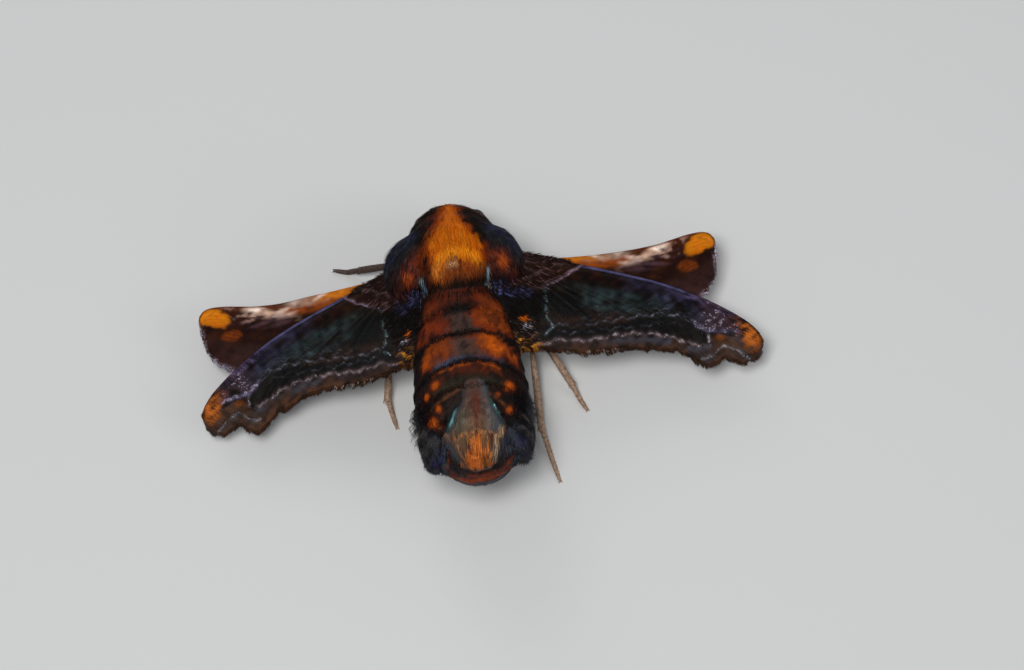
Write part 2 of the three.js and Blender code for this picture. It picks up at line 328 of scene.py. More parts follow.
# The markings of the whole body, for the skin and for every tuft of its coat.
def front_markings(drawn, mottle, fine):
    x, y, z = drawn.T
    side = np.abs(x)
    tiny = unevenness(drawn, 0.25, 6)

    # Thorax, shoulder flaps and head: black-brown, with an orange stripe that widens backwards.
    half_at = [0, 0.3, 1.2, 2.5, 3.5, 4.9, 6.5, 8.5, 10.5]
    half = np.interp(y, half_at, [1.9, 2.2, 2.65, 3.05, 3.15, 2.3, 1.35, 0.95, 0.85])
    drift = np.interp(y, [0.3, 1.2, 2.5, 3.5, 4.9, 6.5, 10.5], [-0.15, 0.0, 0.28, 0.26, 0.05, 0.14, 0.05])
    off = np.abs(x - drift)
    stripe = ease(half + 0.4 * mottle + 0.35 * fine - off, -0.7, 0.55)
    stripe *= ease(y + 0.3 * mottle + 0.2 * fine, -0.2, 0.5) * ease(z, 5.5, 7.0)
    front = lay_on(SOOT, UMBER * 0.8, 0.45 + 0.5 * mottle)
    front = lay_on(front, TEAL_BLACK * 1.15, 0.85 * ease(side, 2.6, 4.0) * ease(y, 1.8, 4.0))
    gleams = (
        ([-4.4, 6.0, 11.0], 0.8), ([4.3, 6.2, 11.2], 0.9), ([-6.0, 4.0, 9.8], 0.6),
        ([5.9, 4.2, 10.0], 0.7)
    )
    for centre, amount in gleams:
        gleam = amount * spot(drawn, centre, [1.0, 1.4, 1.6]) * ease(fine, -0.7, 0.5)
        front = lay_on(front, VIOLET * 0.62, gleam)
    front = lay_on(front, paint(74, 76, 84), 0.5 * ease(tiny + 0.4 * fine, 0.9, 1.5) * ease(side, 3.0, 4.0))
    rusty = (
        ([-4.7, 1.4, 11.9], [1.0, 1.3, 1.3], 0.95),
        ([-3.6, 2.6, 12.3], [0.9, 1.3, 1.3], 0.8),
        ([4.8, 1.7, 12.0], [1.0, 1.35, 1.3], 0.95),
        ([3.9, 2.0, 12.3], [0.8, 1.2, 1.3], 0.6),
        ([-6.0, 0.6, 9.8], [0.8, 0.9, 1.3], 0.5),
        ([5.9, 0.8, 9.9], [0.8, 0.9, 1.3], 0.5),
    )
    for centre, size, amount in rusty:
        front = lay_on(front, RUST * 1.1, amount * spot(drawn, centre, size) * ease(fine, -1.2, 0.1))
    for centre in ([4.85, 1.7, 12.0], [-4.8, 1.1, 11.8]):
        front = lay_on(front, ORANGE * 1.05, 0.75 * spot(drawn, centre, [0.6, 0.85, 1.0]))
    warm = lay_on(ORANGE, RUST, ease(mottle + 0.6 * fine, -0.1, 1.2) * 0.35)
    arch_line = 2.75 - 0.16 * (x - 0.35) ** 2
    arch = bell(y - arch_line, 0.7) * ease(2.9 - np.abs(x - 0.3) + 0.2 * fine, 0, 1.0)
    inner_arch = np.exp(-((((x - 1.0) / 1.1) ** 2 + ((y - 1.2) / 0.75) ** 2) ** 1.5))
    ring_gap = np.hypot((x + 0.2) / 0.85, (y - 1.6) / 0.6)
    ring = bell(ring_gap - 1.0, 0.22) * ease(x + 0.4, -0.4, 0.3)
    warm = layered(
        warm,
        (AMBER, 0.25 * within(y, 3.4, 8.8, 0.6) * ease(half - off + 0.3 * fine, 0.1, 1.0)),
        (RUST, 0.75 * ease(off - half + 0.3 * fine, -0.9, -0.1)),
        (RED_BROWN * 0.8, 0.8 * ease(off - half + 0.3 * fine, -0.3, 0.5)),
        (AMBER, 0.95 * arch),
        (RUST * 0.9, 0.6 * inner_arch * ease(fine, -0.8, 0.4)),
        (paint(200, 116, 44), 0.75 * spot(drawn, [-1.75, 1.2, 12.4], [0.8, 0.85, 2.0])),
        (paint(112, 58, 28), 0.7 * (1 - ease(y + 0.2 * fine, 0.9, 2.1)) * ease(x + 1.4, -0.6, 0.6)),
        (AMBER * 0.75, 0.5 * ease(np.sin(x * 4.1 + 0.8 * y), 0.5, 1.0) * within(y, 3.3, 5.4, 0.4)),
        (AMBER * 0.7, 0.55 * ease(y, 8.0, 9.5)),
        (RED_BROWN, 0.85 * ring),
        (TAN * 0.75, 0.9 * (1 - ease(ring_gap, 0.6, 0.95))),
        (UMBER, 0.7 * ease(0.7 - y + 0.3 * fine, 0, 0.7) * ease(x + 1.2, 0, 1)),
    )
    front = lay_on(front, warm * 1.14, stripe)
    for path_x, foot in ((-3.5, 0.35), (3.3, 0.35)):
        line = bell(x - path_x - 0.2 * np.sign(path_x) * (y - foot), 0.12)
        line = line * within(y + 0.2 * fine, foot - 0.85, foot + 0.75, 0.2) * (z > 9.5)
        front = lay_on(front, lay_on(paint(128, 156, 170), STRAW, ease(fine, 0, 1)), 0.9 * line)
    rows = ease(np.sin((y + 0.12 * side) * 15 + 0.6 * fine), -0.3, 0.6) * ease(np.sin(x * 15), -0.7, 0.3)
    rear_rim = within(side, 3.5, 6.4, 0.3) * (1 - ease(y + 0.05 * (side - 4.5) ** 2, 0.0, 0.35)) * (z > 8.4)
    front = layered(front, (SOOT, 0.85 * rear_rim), (paint(92, 94, 136), 0.75 * rear_rim * rows))
    under = ease(6.5 - z, 0, 2.5)
    return lay_on(front, BELLY * 0.7, 0.8 * under)


# Patches on the back plates: which plate, the colour, the side, from and to round the back in degrees,
# from and to along the plate as shares, and how strong.
ABDOMEN_PATCHES = (
    (0, RED_BROWN, "both", -9, 60, 0.5, 1.3, 0.8),
    (0, RUST * 0.55, "left", 14, 62, 0.72, 1.3, 0.8),
    (0, RUST * 0.55, "right", 16, 72, 0.68, 1.3, 0.8),
    (0, ORANGE * 0.36, "left", 28, 54, 0.8, 1.3, 0.7),
    (0, ORANGE * 0.36, "right", 30, 66, 0.74, 1.3, 0.8),
    (0, SOOT, "both", -9, 18, 0.93, 1.3, 0.85),
    (1, RED_BROWN * 1.3, "left", 12, 70, 0.0, 0.95, 0.95),
    (1, RUST * 0.95, "left", 36, 62, 0.0, 0.85, 0.75),
    (1, RUST * 0.85, "right", 14, 80, 0.0, 0.95, 0.95),
    (1, ORANGE * 0.45, "right", 32, 72, 0.02, 0.8, 0.85),
    (1, ORANGE * 0.8, "right", 40, 54, 0.1, 0.65, 0.65),
    (1, MAUVE * 0.6, "both", -9, 15, 0.25, 1.0, 0.85),
    (1, SOOT, "both", -9, 23, -0.3, 0.26, 0.95),
    (2, RUST * 0.8, "left", 16, 62, 0.02, 0.86, 0.95),
    (2, ORANGE * 0.38, "left", 30, 60, 0.03, 0.76, 0.75),
    (2, ORANGE * 0.75, "left", 42, 58, 0.3, 0.72, 0.75),
    (2, RUST, "right", 12, 68, 0.02, 0.9, 0.95),
    (2, ORANGE * 0.5, "right", 24, 64, 0.0, 0.78, 0.88),
    (2, ORANGE * 0.95, "right", 30, 52, 0.06, 0.56, 0.8),
    (2, MAUVE * 0.6, "left", 2, 28, 0.12, 0.86, 0.85),
    (2, MAUVE * 0.6, "right", 2, 22, 0.16, 0.86, 0.85),
    (2, SOOT, "both", -9, 3, 0.0, 0.86, 0.85),
    (2, SOOT, "both", 3, 30, -0.2, 0.08, 0.8),
    (2, SLATE * 1.05, "left", -4, 34, 0.8, 0.95, 0.9),
    (2, SLATE * 0.75, "right", 0, 48, 0.84, 0.95, 0.8),
    (3, UMBER * 1.25, "both", -9, 46, 0.05, 0.66, 0.9),
    (3, ORANGE * 0.7, "left", 12, 52, 0.07, 0.17, 0.85),
    (3, ORANGE * 0.8, "right", 4, 48, 0.07, 0.19, 0.9),
    (3, RUST * 0.75, "right", 6, 40, 0.19, 0.5, 0.7),
    (3, RED_BROWN * 0.9, "left", 4, 36, 0.2, 0.5, 0.6),
    (3, OLIVE * 0.32, "both", -9, 44, 0.66, 0.98, 0.7),
    (4, MAUVE * 0.4, "left", 20, 55, 0.1, 0.9, 0.6),
    (4, SOOT, "both", 50, 95, -0.1, 1.1, 0.8),
)
# The bright fold before the last plates: how far along it runs at turns round the back.
FOLD_TURNS = [-75, -63, -40, -25, -10, 10, 28, 39, 49, 59, 66, 75]
FOLD_SHARES = [0.642, 0.632, 0.612, 0.597, 0.588, 0.588, 0.617, 0.639, 0.659, 0.677, 0.699, 0.71]
# Orange spots at the sides: share along, turn round the back, length, breadth and strength.
SIDE_SPOTS = (
    (0.545, -48, 1.5, 5.2, 1.0), (0.577, -62, 1.2, 3.6, 0.95), (0.65, -54, 1.2, 3.6, 0.9),
    (0.697, -66, 1.9, 4.4, 1.0), (0.582, 55, 1.4, 5.2, 1.0), (0.626, 43, 0.8, 3.6, 0.45),
    (0.684, 60, 1.2, 3.6, 0.75)
)


# Waist and abdomen: each back plate has its own dark middle, orange or rust sides and hind edge.
def abdomen_markings(drawn, mottle, fine):
    x, z = drawn[:, 0], drawn[:, 2]
    share, turn = along_abdomen(drawn)[:2]
    round_back = np.abs(turn)
    turned = {"left": -turn, "right": turn, "both": round_back}
    back = lay_on(UMBER * 0.85, SOOT, 0.45 + 0.45 * mottle)
    tilted = plate_share(share, turn) + 0.002 * fine
    edges = [0.1] + RINGS + [0.8]
    plate = np.clip(np.searchsorted(edges, tilted) - 1, 0, 5)
    place = np.clip((tilted - np.array(edges)[plate]) / np.diff(edges)[plate], 0, 1)
    uneven = 6 * mottle + 5 * fine
    dapple = unevenness(drawn, 0.8, 7)
    for number, colour, where, low, high, start, end, amount in ABDOMEN_PATCHES:
        here = (plate == number) * within(turned[where] - 14 * (place - 0.5) + uneven, low, high, 10)
        back = lay_on(back, colour, amount * here * within(place + 0.05 * dapple, start, end, 0.09))
    # Random dapples: darker patches of soot, and lighter ones that are painted highlights.
    back = lay_on(back, SOOT, 0.62 * ease(dapple + 0.5 * fine, 0.1, 1.2))
    back = lay_on(back, back * 1.4, 0.7 * ease(-dapple - 0.4 * fine, 0.2, 1.1))
    # Painted shade: a dark line just behind the hind edges of the middle plates, where each plate steps
    # down to the next.
    for ring in RINGS[1:3]:
        painted_ring_shade = bell(tilted - ring - 0.003, 0.0065)
        back = lay_on(back, SOOT * 0.6, 0.9 * painted_ring_shade * (round_back < 75))
    past_fold = share - np.interp(turn, FOLD_TURNS, FOLD_SHARES) + 0.001 * fine
    fold_edge = bell(past_fold, 0.007) * within(round_back, 14, 72, 5)
    # The fold: a dark band of painted shade behind it, and a brown line along it.
    back = layered(
        back,
        (SOOT * 0.6, 0.85 * bell(past_fold - 0.011, 0.009) * (round_back < 75)),
        (paint(112, 66, 36), 0.7 * fold_edge * ease(dapple + fine, -1.2, 0.4)),
    )
    for spot_share, where, length, breadth, amount in SIDE_SPOTS:
        along = (share - spot_share + 0.002 * fine) / (0.012 * length)
        gap = along**2 + ((turn - where) / breadth) ** 2
        back = layered(
            back,
            (ORANGE * 1.25, amount * np.exp(-(gap**1.5))),
            (RUST * 0.6, 0.4 * amount * np.exp(-((gap / 3) ** 1.2))),
        )
    # Painted shadow darkens the flanks.
    painted_flank_shadow = ease(round_back, 62, 82) * (share > 0.22) * (1 - ease(round_back, 118, 140))
    grey = within(round_back, 82, 116, 7) * within(share, 0.56, 0.9, 0.03)
    hem = within(z + 0.2 * mottle, 8.75, 9.35, 0.1) + within(z + 0.2 * mottle, 9.65, 10.5, 0.12)
    hem = hem * ease(share, 0.84, 0.9) * (np.abs(x) < 3.4)
    back = layered(
        back,
        (SOOT, 0.75 * painted_flank_shadow),
        (paint(88, 86, 88), 0.8 * grey * ease(fine + mottle, -1.4, 0.3)),
        (BELLY * 0.8, 0.85 * ease(round_back + 6 * mottle, 122, 146)),
        (SLATE * 0.8, 0.8 * ease(share, 0.84, 0.9) * (1 - ease(z, 8.5, 8.8)) * (z > 7)),
    )
    return lay_on(back, RUST * 1.15, 0.85 * hem)


# The tail bud: a grey-brown fan with a red-brown middle, which starts as a point on the back and has
# a bright blue-green line at each side; then a ragged tan edge, an orange tuft split by a dark line
# with straw-coloured strands beside it, and hoops of rust and slate below.
def bud_markings(drawn, mottle, fine):
    far, wide, high = along_crest(drawn)
    down = np.degrees(np.arctan2(far, high)) + 3 * fine
    wide = wide - np.interp(far, [-0.5, 0.3, 0.7], [0.16, 0.1, 0.04])
    aside = np.abs(wide)
    fan = np.interp(
        far, [-0.66, -0.6, -0.5, -0.3, -0.17, 0.07, 0.3, 1], [0.1, 0.3, 0.42, 0.48, 0.55, 0.84, 0.98, 1.1]
    )
    inside = 1 - ease(aside + 0.03 * fine, fan - 0.06, fan + 0.02)
    bud = lay_on(SOOT * 1.1, TEAL_BLACK * 1.5, 0.5 + 0.5 * mottle)
    fan_paint = lay_on(MAUVE * 0.8, paint(80, 80, 84), ease(wide + 0.1 * fine, 0.02, 0.4))
    olive = within(aside, 0.18, 0.75, 0.12) * ease(far, -0.25, 0.15)
    brow = within(far, -0.3, 0.5, 0.12) * (1 - ease(aside, 0.3, 0.6))
    verge = ease(aside / fan + 0.06 * fine, 0.6, 0.88) * (1 - ease(far, 0.1, 0.3))
    fan_paint = layered(
        fan_paint,
        (OLIVE * 1.15, 0.65 * olive * ease(0.3 - wide, -0.3, 0.3)),
        (paint(92, 96, 90), 0.6 * olive * ease(fine, 0.0, 1.0)),
        (paint(136, 112, 92), 0.5 * brow * ease(fine + mottle, -0.8, 0.8)),
        (paint(44, 52, 54), 0.8 * verge),
    )
    middle = bell(wide, 0.16 + 0.1 * ease(far, -0.4, 0.4)) * ease(far, -0.55, -0.25)
    middle_paint = lay_on(RED_BROWN * 1.5, TAN * 0.55, ease(far, -0.1, 0.5) * 0.7)
    dots = bell(wide + 0.02, 0.05) * (np.sin(far * 34) > 0.1) * within(far, 0.1, 0.6, 0.04)
    bud = layered(
        bud,
        (fan_paint, inside),
        (middle_paint, 0.62 * middle * inside),
        (RED_BROWN * 0.6, 0.85 * dots),
        (
            paint(168, 112, 66),
            0.85 * within(down, 36, 42, 2.5) * ease(1.0 - aside, 0, 0.2) * ease(far, 0.2, 0.4)
        ),
    )

    # Behind the ragged edge.
    behind = ease(down, 40, 44) * (far > 0)
    rear_base = lay_on(paint(112, 84, 64), MAUVE * 0.75, ease(down + 8 * mottle, 48, 62))
    rear_base = layered(
        rear_base,
        (RED_BROWN * 1.1, 0.6 * ease(down, 60, 72) * (1 - ease(aside, 0.45, 0.65))),
        (paint(58, 64, 70), 0.85 * ease(down + 5 * fine, 66, 76) * ease(aside, 0.5, 0.7)),
    )
    ragged = within(down + 4 * mottle, 43, 50, 1.5) * within(wide, -0.5, 0.5, 0.06)
    bud = layered(
        bud,
        (rear_base, behind),
        (RED_BROWN * 0.6, 0.85 * ragged * ease(np.sin(wide * 17 + mottle), -0.5, 0.2)),
    )
    for top, foot, start, end in ((0.8, 0.36, 34, 74), (0.92, 0.5, 40, 76), (-0.72, -0.5, 56, 80)):
        path = top + (foot - top) * (down - start) / (end - start)
        strand = bell(wide - path, 0.036) * within(down, start, end, 3)
        bud = lay_on(bud, STRAW * 0.9 if top > 0 else TAN, 0.75 * strand)
    tuft_half = np.interp(down, [38, 44, 55, 68, 85, 100], [0.04, 0.13, 0.34, 0.54, 0.58, 0.5])
    tuft = within(down, 40, 103, 2) * ease(tuft_half + 0.06 * fine - aside, -0.04, 0.05) * (far > 0)
    split = bell(wide - 0.09, 0.06) * ease(down, 60, 70)
    rim_height = drawn[:, 2] - 0.6 * aside**2 + 0.06 * fine
    rear = ease(down, 92, 100) * (far > 0)
    rust_hoops = within(rim_height, 9.65, 10.5, 0.08) + within(rim_height, 8.75, 9.35, 0.08)
    bud = layered(
        bud,
        (paint(210, 108, 34), 0.97 * tuft),
        (
            paint(236, 140, 66),
            0.5 * tuft * ease(fine + 0.5 * mottle, -0.2, 0.9) * (1 - ease(down, 70, 85))
        ),
        (OLIVE * 0.4, 0.9 * tuft * split),
        (paint(38, 25, 20), 0.95 * rear),
        (RUST * 1.3, 0.9 * rear * rust_hoops),
        (SLATE * 0.8, 0.8 * rear * (1 - ease(rim_height, 8.45, 8.7))),
        (SOOT, 0.8 * rear * bell(wide - 0.08, 0.08)),
    )
    for wing_side, start, end in ((-1, -0.04, 0.16), (1, -0.24, 0.0)):
        gap = wide * wing_side - fan - 0.03 + 0.02 * fine
        glow = bell(gap, 0.045) * within(far, start, end, 0.1)
        bud = layered(
            bud,
            (paint(64, 104, 110), 0.7 * bell(gap, 0.12) * within(far, start, end, 0.1)),
            (paint(150, 206, 206), 0.9 * glow * ease(fine + 0.7, -0.4, 0.4)),
        )
    return bud, inside * ease(far, -0.65, -0.57) * (far < 0.2) * (high > 0.2)


# The tail's side tufts: grey-black with a small blue-violet gleam.
def tuft_markings(drawn, fine):
    side = np.abs(drawn[:, 0])
    lumps = unevenness(drawn, 1.0, 8)
    brush = lay_on(SOOT * 1.4, paint(76, 72, 70), 0.7 * ease(lumps + 0.5 * fine, -0.3, 1.0))
    brush = layered(
        brush,
        (VIOLET * 1.1, 0.95 * spot(drawn, [-3.9, -18.2, 10.4], [0.6, 0.6, 0.9])),
        (VIOLET * 0.6, 0.6 * spot(drawn, [4.4, -17.6, 10.6], [0.7, 0.9, 1.0])),
    )
    slate = ease(4.5 - side, 0, 0.8) * ease(-15.0 - drawn[:, 1], 0, 0.8) * ease(fine, -0.8, 0.5)
    return lay_on(brush, SLATE * 0.95, 0.7 * slate)


# Puts other rows in the place of those that belong to certain kinds.
def by_kind(kinds, rows, choices):
    for kind, chosen in choices.items():
        rows = np.where((kinds == KINDS.index(kind))[:, None], chosen, rows)
    return rows


def markings(drawn, kinds):
    mottle = unevenness(drawn, 1.6, 3)
    fine = unevenness(drawn, 0.5, 4)
    front = front_markings(drawn, mottle, fine)
    bud, point = bud_markings(drawn, mottle, fine)
    back = lay_on(abdomen_markings(drawn, mottle, fine), bud, point)
    choices = {"abdomen": back, "crest": bud, "tuft": tuft_markings(drawn, fine)}
    choices["palp"] = lay_on(front, BELLY, np.full(len(drawn), 0.7))
    return np.clip(by_kind(kinds, front, choices), 0.002, 1)


def store_colours(mesh, name, colours):
    layer = mesh.color_attributes.new(name, "FLOAT_COLOR", "POINT")
    with_alpha = np.ones((len(colours), 4), np.float32)
    with_alpha[:, :3] = colours
    layer.data.foreach_set("color", with_alpha.ravel())


# A node of a material, or its shader, takes values and the outputs of other nodes at its inputs.
def fill_in(node, inputs):
    for entry, value in inputs.items():
        if isinstance(value, bpy.types.NodeSocket):
            node.id_data.links.new(value, node.inputs[entry])
        else:
            node.inputs[entry].default_value = value
    return node


def add_node(material, kind, inputs):
    return fill_in(material.node_tree.nodes.new(f"ShaderNode{kind}"), inputs)


def new_material(name):
    material = bpy.data.materials.new(name)
    material.use_nodes = True
    return material


def add_noise(material, size, detail):
    place = add_node(material, "TexCoord", {}).outputs["Object"]
    return add_node(material, "TexNoise", {"Scale": 1 / (size * MM), "Detail": detail, "Vector": place})


def add_bump(material, height, strength, depth):
    bump = add_node(material, "Bump", {"Strength": strength, "Distance": depth * MM, "Height": height})
    return bump.outputs["Normal"]


# The outputs of a node that reads what is stored in the piece.
def add_stored(material, name):
    stored = add_node(material, "Attribute", {})
    stored.attribute_name = name
    return stored.outputs


def finish_shader(material, inputs):
    fill_in(material.node_tree.nodes["Principled BSDF"], inputs)
    return material


# A material that wears the colours stored in its piece, with a fine bump of its own.
def dressed(name, stored, roughness, bump_size, bump_depth, sheen=0.0, sheen_tint=(1, 1, 1), specular=0.12):
    material = new_material(name)
    grain = add_noise(material, bump_size, 4)
    inputs = {
        "Roughness": roughness, "Specular IOR Level": specular, "Sheen Weight": sheen,
        "Sheen Roughness": 0.35, "Sheen Tint": (*sheen_tint, 1),
        "Base Color": add_stored(material, stored)["Color"],
        "Normal": add_bump(material, grain.outputs["Fac"], 0.8, bump_depth)
    }
    return finish_shader(material, inputs)


# Gives a finished piece its material and its body, and hides the solids that it replaces. Its slot is not
# used.
def complete(piece, material, slot, *nodes):
    piece.data.materials.append(material)
    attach(piece, "root")
    if nodes:
        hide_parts(*nodes)


store_colours(skin.data, "skin_colour", markings((skin_points - waist) / MM, skin_kinds) * 0.8)
complete(skin, dressed("scaled_skin", "skin_colour", 0.6, 0.25, 0.08), "umber_fur", *FLESH)

# ---- The body's coat ----
# Flat hair scales grow from the whole skin, rooted side by side, and lie back along the body like
# shingles. They are longest on the thorax, the flaps and the tail, and shortest on the face.
triangles = skin.data.loop_triangles
skin.data.calc_loop_triangles()
corner_vertices = np.zeros(len(triangles) * 3, np.int32)
triangles.foreach_get("vertices", corner_vertices)
corner_vertices = corner_vertices.reshape(-1, 3)
corner_loops = np.zeros(len(triangles) * 3, np.int32)
triangles.foreach_get("loops", corner_loops)
corner_loops = corner_loops.reshape(-1, 3)
skin_map = np.zeros(len(skin.data.loops) * 2, np.float32)
skin.data.uv_layers[0].uv.foreach_get("vector", skin_map)
skin_map = skin_map.reshape(-1, 2)
edge_one = skin_points[corner_vertices[:, 1]] - skin_points[corner_vertices[:, 0]]
edge_two = skin_points[corner_vertices[:, 2]] - skin_points[corner_vertices[:, 0]]
triangle_areas = np.linalg.norm(np.cross(edge_one, edge_two), axis=1) / 2
triangle_kinds = skin_kinds[corner_vertices[:, 0]]


# Roots spread evenly over the skin of some kinds, as places, outward ways, places on the skin's map.
def roots_on(kinds, count, seed):
    chance = np.random.default_rng(seed)
    weights = triangle_areas * np.isin(triangle_kinds, [KINDS.index(kind) for kind in kinds])
    ladder = np.cumsum(weights) / weights.sum()
    marks = (np.arange(count) + chance.uniform(0, 1, count)) / count
    chosen = np.minimum(np.searchsorted(ladder, marks), len(weights) - 1)
    a, b = chance.uniform(0, 1, (2, count))
    fold = a + b > 1
    a[fold], b[fold] = 1 - a[fold], 1 - b[fold]
    mix = np.stack([1 - a - b, a, b], 1)[:, :, None]
    places = (skin_points[corner_vertices[chosen]] * mix).sum(1)
    ways = (skin_ways[corner_vertices[chosen]] * mix).sum(1)
    ways = unit(ways)
    on_map = (skin_map[corner_loops[chosen]] * mix).sum(1)
    return places, ways, on_map, triangle_kinds[chosen]


# A coat piece: one thin, closed, tapering blade for each root. Sizes are in millimetres.
BLADE_STEPS = {"scale": [0.45, 1.0], "short": [0.0, 0.45, 1.0], "long": [0.0, 0.3, 0.65, 1.0]}
BLADE_WIDTHS = {"scale": [1.0], "short": [0.6, 1.0], "long": [0.6, 1.0, 0.75]}
ROOT_SHADE = 0.75
MAP_PATCH = 0.003
MAP_EDGE = 0.03


def blades(name, places, outward, lay, on_map, length, width, lift, hug, colours, build, tip_shade):
    count = len(places)
    lay = lay - outward * (lay * outward).sum(1)[:, None]
    lay /= np.linalg.norm(lay, axis=1)[:, None] + 1e-9
    beside = np.cross(outward, lay)
    steps, widths = BLADE_STEPS[build], BLADE_WIDTHS[build]
    rows = len(widths)
    rise = np.tan(np.radians(lift))
    points = np.zeros((count, rows * 3 + 1, 3))
    for i, step in enumerate(steps):
        reach = length * step
        height = rise * length * (step - 0.62 * step**2) - hug * reach**2 - 0.03
        centre = places + (lay * reach[:, None] + outward * height[:, None]) * MM
        if i == rows:
            points[:, -1] = centre
            continue
        half = (beside * (width * widths[i])[:, None]) * MM
        ridge = (outward * (0.35 * width * widths[i])[:, None]) * MM
        points[:, i * 3] = centre - half
        points[:, i * 3 + 1] = centre + half
        points[:, i * 3 + 2] = centre + ridge
    tip = rows * 3
    sides = ((0, 1), (1, 2), (2, 0))
    faces = [(0, 2, 1)]
    for low in range(0, tip - 3, 3):
        for a, b in sides:
            faces.append((low + a, low + b, low + 3 + b))
            faces.append((low + a, low + 3 + b, low + 3 + a))
    faces = np.array(faces + [(tip - 3 + a, tip - 3 + b, tip) for a, b in sides])
    per_blade = rows * 3 + 1
    corners = (faces.ravel()[None] + (np.arange(count) * per_blade)[:, None]).ravel()
    face_count = len(faces) * count
    mesh = bpy.data.meshes.new(name)
    mesh.vertices.add(count * per_blade)
    mesh.vertices.foreach_set("co", points.astype(np.float32).ravel())
    mesh.loops.add(face_count * 3)
    mesh.loops.foreach_set("vertex_index", corners.astype(np.int32))
    mesh.polygons.add(face_count)
    mesh.polygons.foreach_set("loop_start", np.arange(face_count, dtype=np.int32) * 3)
    mesh.update(calc_edges=True)
    mesh.validate()
    mesh.polygons.foreach_set("use_smooth", np.ones(face_count, bool))
    shades = np.ones(per_blade)
    shades[:3] = ROOT_SHADE
    shades[-1] = tip_shade
    tinted = np.clip(colours[:, None] * shades[None, :, None], 0, 1).reshape(-1, 3)
    store_colours(mesh, "coat_colour", tinted)
    across_patch = np.array([-0.5, 0.5, 0.0] * rows + [0.0]) * MAP_PATCH
    along_patch = np.array(
        [step for step in steps[:-1] for _ in range(3)] + [1.0]
    ) * MAP_PATCH - MAP_PATCH / 2
    patch = on_map[:, None, :] + np.stack([across_patch, along_patch], 1)[None]
    patch = np.clip(patch.reshape(-1, 2)[corners], 0.001, 0.999)
    layer = mesh.uv_layers.new(name="OFBake")
    layer.uv.foreach_set("vector", patch.astype(np.float32).ravel())
    piece = bpy.data.objects.new(name, mesh)
    bpy.context.scene.collection.objects.link(piece)
    return piece


# The way the coat lies at places on the body: back from the face, along the abdomen and the bud.
def coat_way(drawn, kinds):
    way = along_abdomen(drawn)[2]
    back = np.stack([0.10 * drawn[:, 0], -np.ones(len(drawn)), -0.05 * np.ones(len(drawn))], 1)
    along = np.stack([0.03 * drawn[:, 0], way[:, 0], way[:, 1]], 1)
    far, wide = along_crest(drawn)[:2]
    rear = ease(far, 0.6, 0.85)[:, None]
    fanned = CREST_WAY + np.array([0.25, 0, 0]) * wide[:, None]
    bud = (1 - rear) * fanned + rear * np.array([0, -0.35, -1.0])
    bud[:, 0] += 0.25 * wide
    brush = np.stack([0.12 * drawn[:, 0], -np.ones(len(drawn)), 0.25 * np.ones(len(drawn))], 1)
    muzzle = np.stack([0.0 * drawn[:, 0], np.full(len(drawn), 0.5), np.ones(len(drawn))], 1)
    return by_kind(kinds, back, {"abdomen": along, "crest": bud, "tuft": brush, "palp": muzzle})


def coat(
    name, kinds, count, length, width, lift, seed, build, material, slot, only=None, sway=0.16, ragged=0.1
):
    chance = np.random.default_rng(seed)
    places, outward, on_map, found = roots_on(kinds, count, seed)
    drawn = (places - waist) / MM
    if only is not None:
        kept = only(drawn)
        places, outward, on_map, found, drawn = (
            part[kept] for part in (places, outward, on_map, found, drawn)
        )
    lay = coat_way(drawn, found)
    lay = unit(lay)
    locks = np.stack([unevenness(drawn, 0.9, seed + n) for n in (1, 2, 3)], 1) * ragged
    lay = lay + chance.normal(size=lay.shape) * sway + locks
    lengths, widths, lifts = (
        part(drawn) if callable(part) else np.full(len(drawn), part) for part in (length, width, lift)
    )
    longer = 1 + 1.4 * ragged * unevenness(drawn, 0.8, seed + 4)
    lengths = lengths * chance.uniform(0.65, 1.25, len(drawn)) * longer
    widths = widths * chance.uniform(0.7, 1.3, len(drawn))
    lifts = lifts * chance.uniform(0.5, 1.5, len(drawn))
    lay = unit(lay)
    halfway = drawn + lay * lengths[:, None] * 0.5
    colours = markings(halfway, found) * chance.uniform(0.78, 1.24, len(drawn))[:, None]
    piece = blades(name, places, outward, lay, on_map, lengths, widths, lifts, 0.085, colours, build, 1.2)
    complete(piece, material, slot)


warm_hair = dressed("warm_hair_scales", "coat_colour", 0.4, 0.2, 0.01, 0.02, (1.0, 0.8, 0.6), 0.1)
dark_hair = dressed("dark_hair_scales", "coat_colour", 0.34, 0.2, 0.01, 0.04, (0.45, 0.5, 1.0), 0.16)
plate_scales = dressed("plate_scales", "coat_colour", 0.36, 0.2, 0.01, 0.02, (0.9, 0.75, 0.7), 0.12)
bud_hair = dressed("bud_hair_scales", "coat_colour", 0.34, 0.2, 0.01, 0.03, (0.8, 0.85, 1.0), 0.18)


def bald(drawn):
    gap = np.hypot((drawn[:, 0] + 0.2) / 0.5, (drawn[:, 1] - 1.6) / 0.35)
    return (gap > 1) | (np.arange(len(drawn)) % 5 == 0)


def thorax_length(drawn):
    return 1.15 - 0.3 * ease(drawn[:, 1], 6, 9) + 0.3 * ease(1.5 - drawn[:, 1], 0, 1.5)


def shoulder_length(drawn):
    return 1.2 + 0.45 * ease(-drawn[:, 0], 4.0, 6.0) * ease(drawn[:, 1], -0.5, 1.5)


def shoulder_lift(drawn):
    return 14 + 12 * ease(-drawn[:, 0], 4.0, 6.0) * ease(drawn[:, 1], -0.5, 1.5)


def head_length(drawn):
    return 0.6 + 0.35 * ease(drawn[:, 2], 5.5, 7.5)


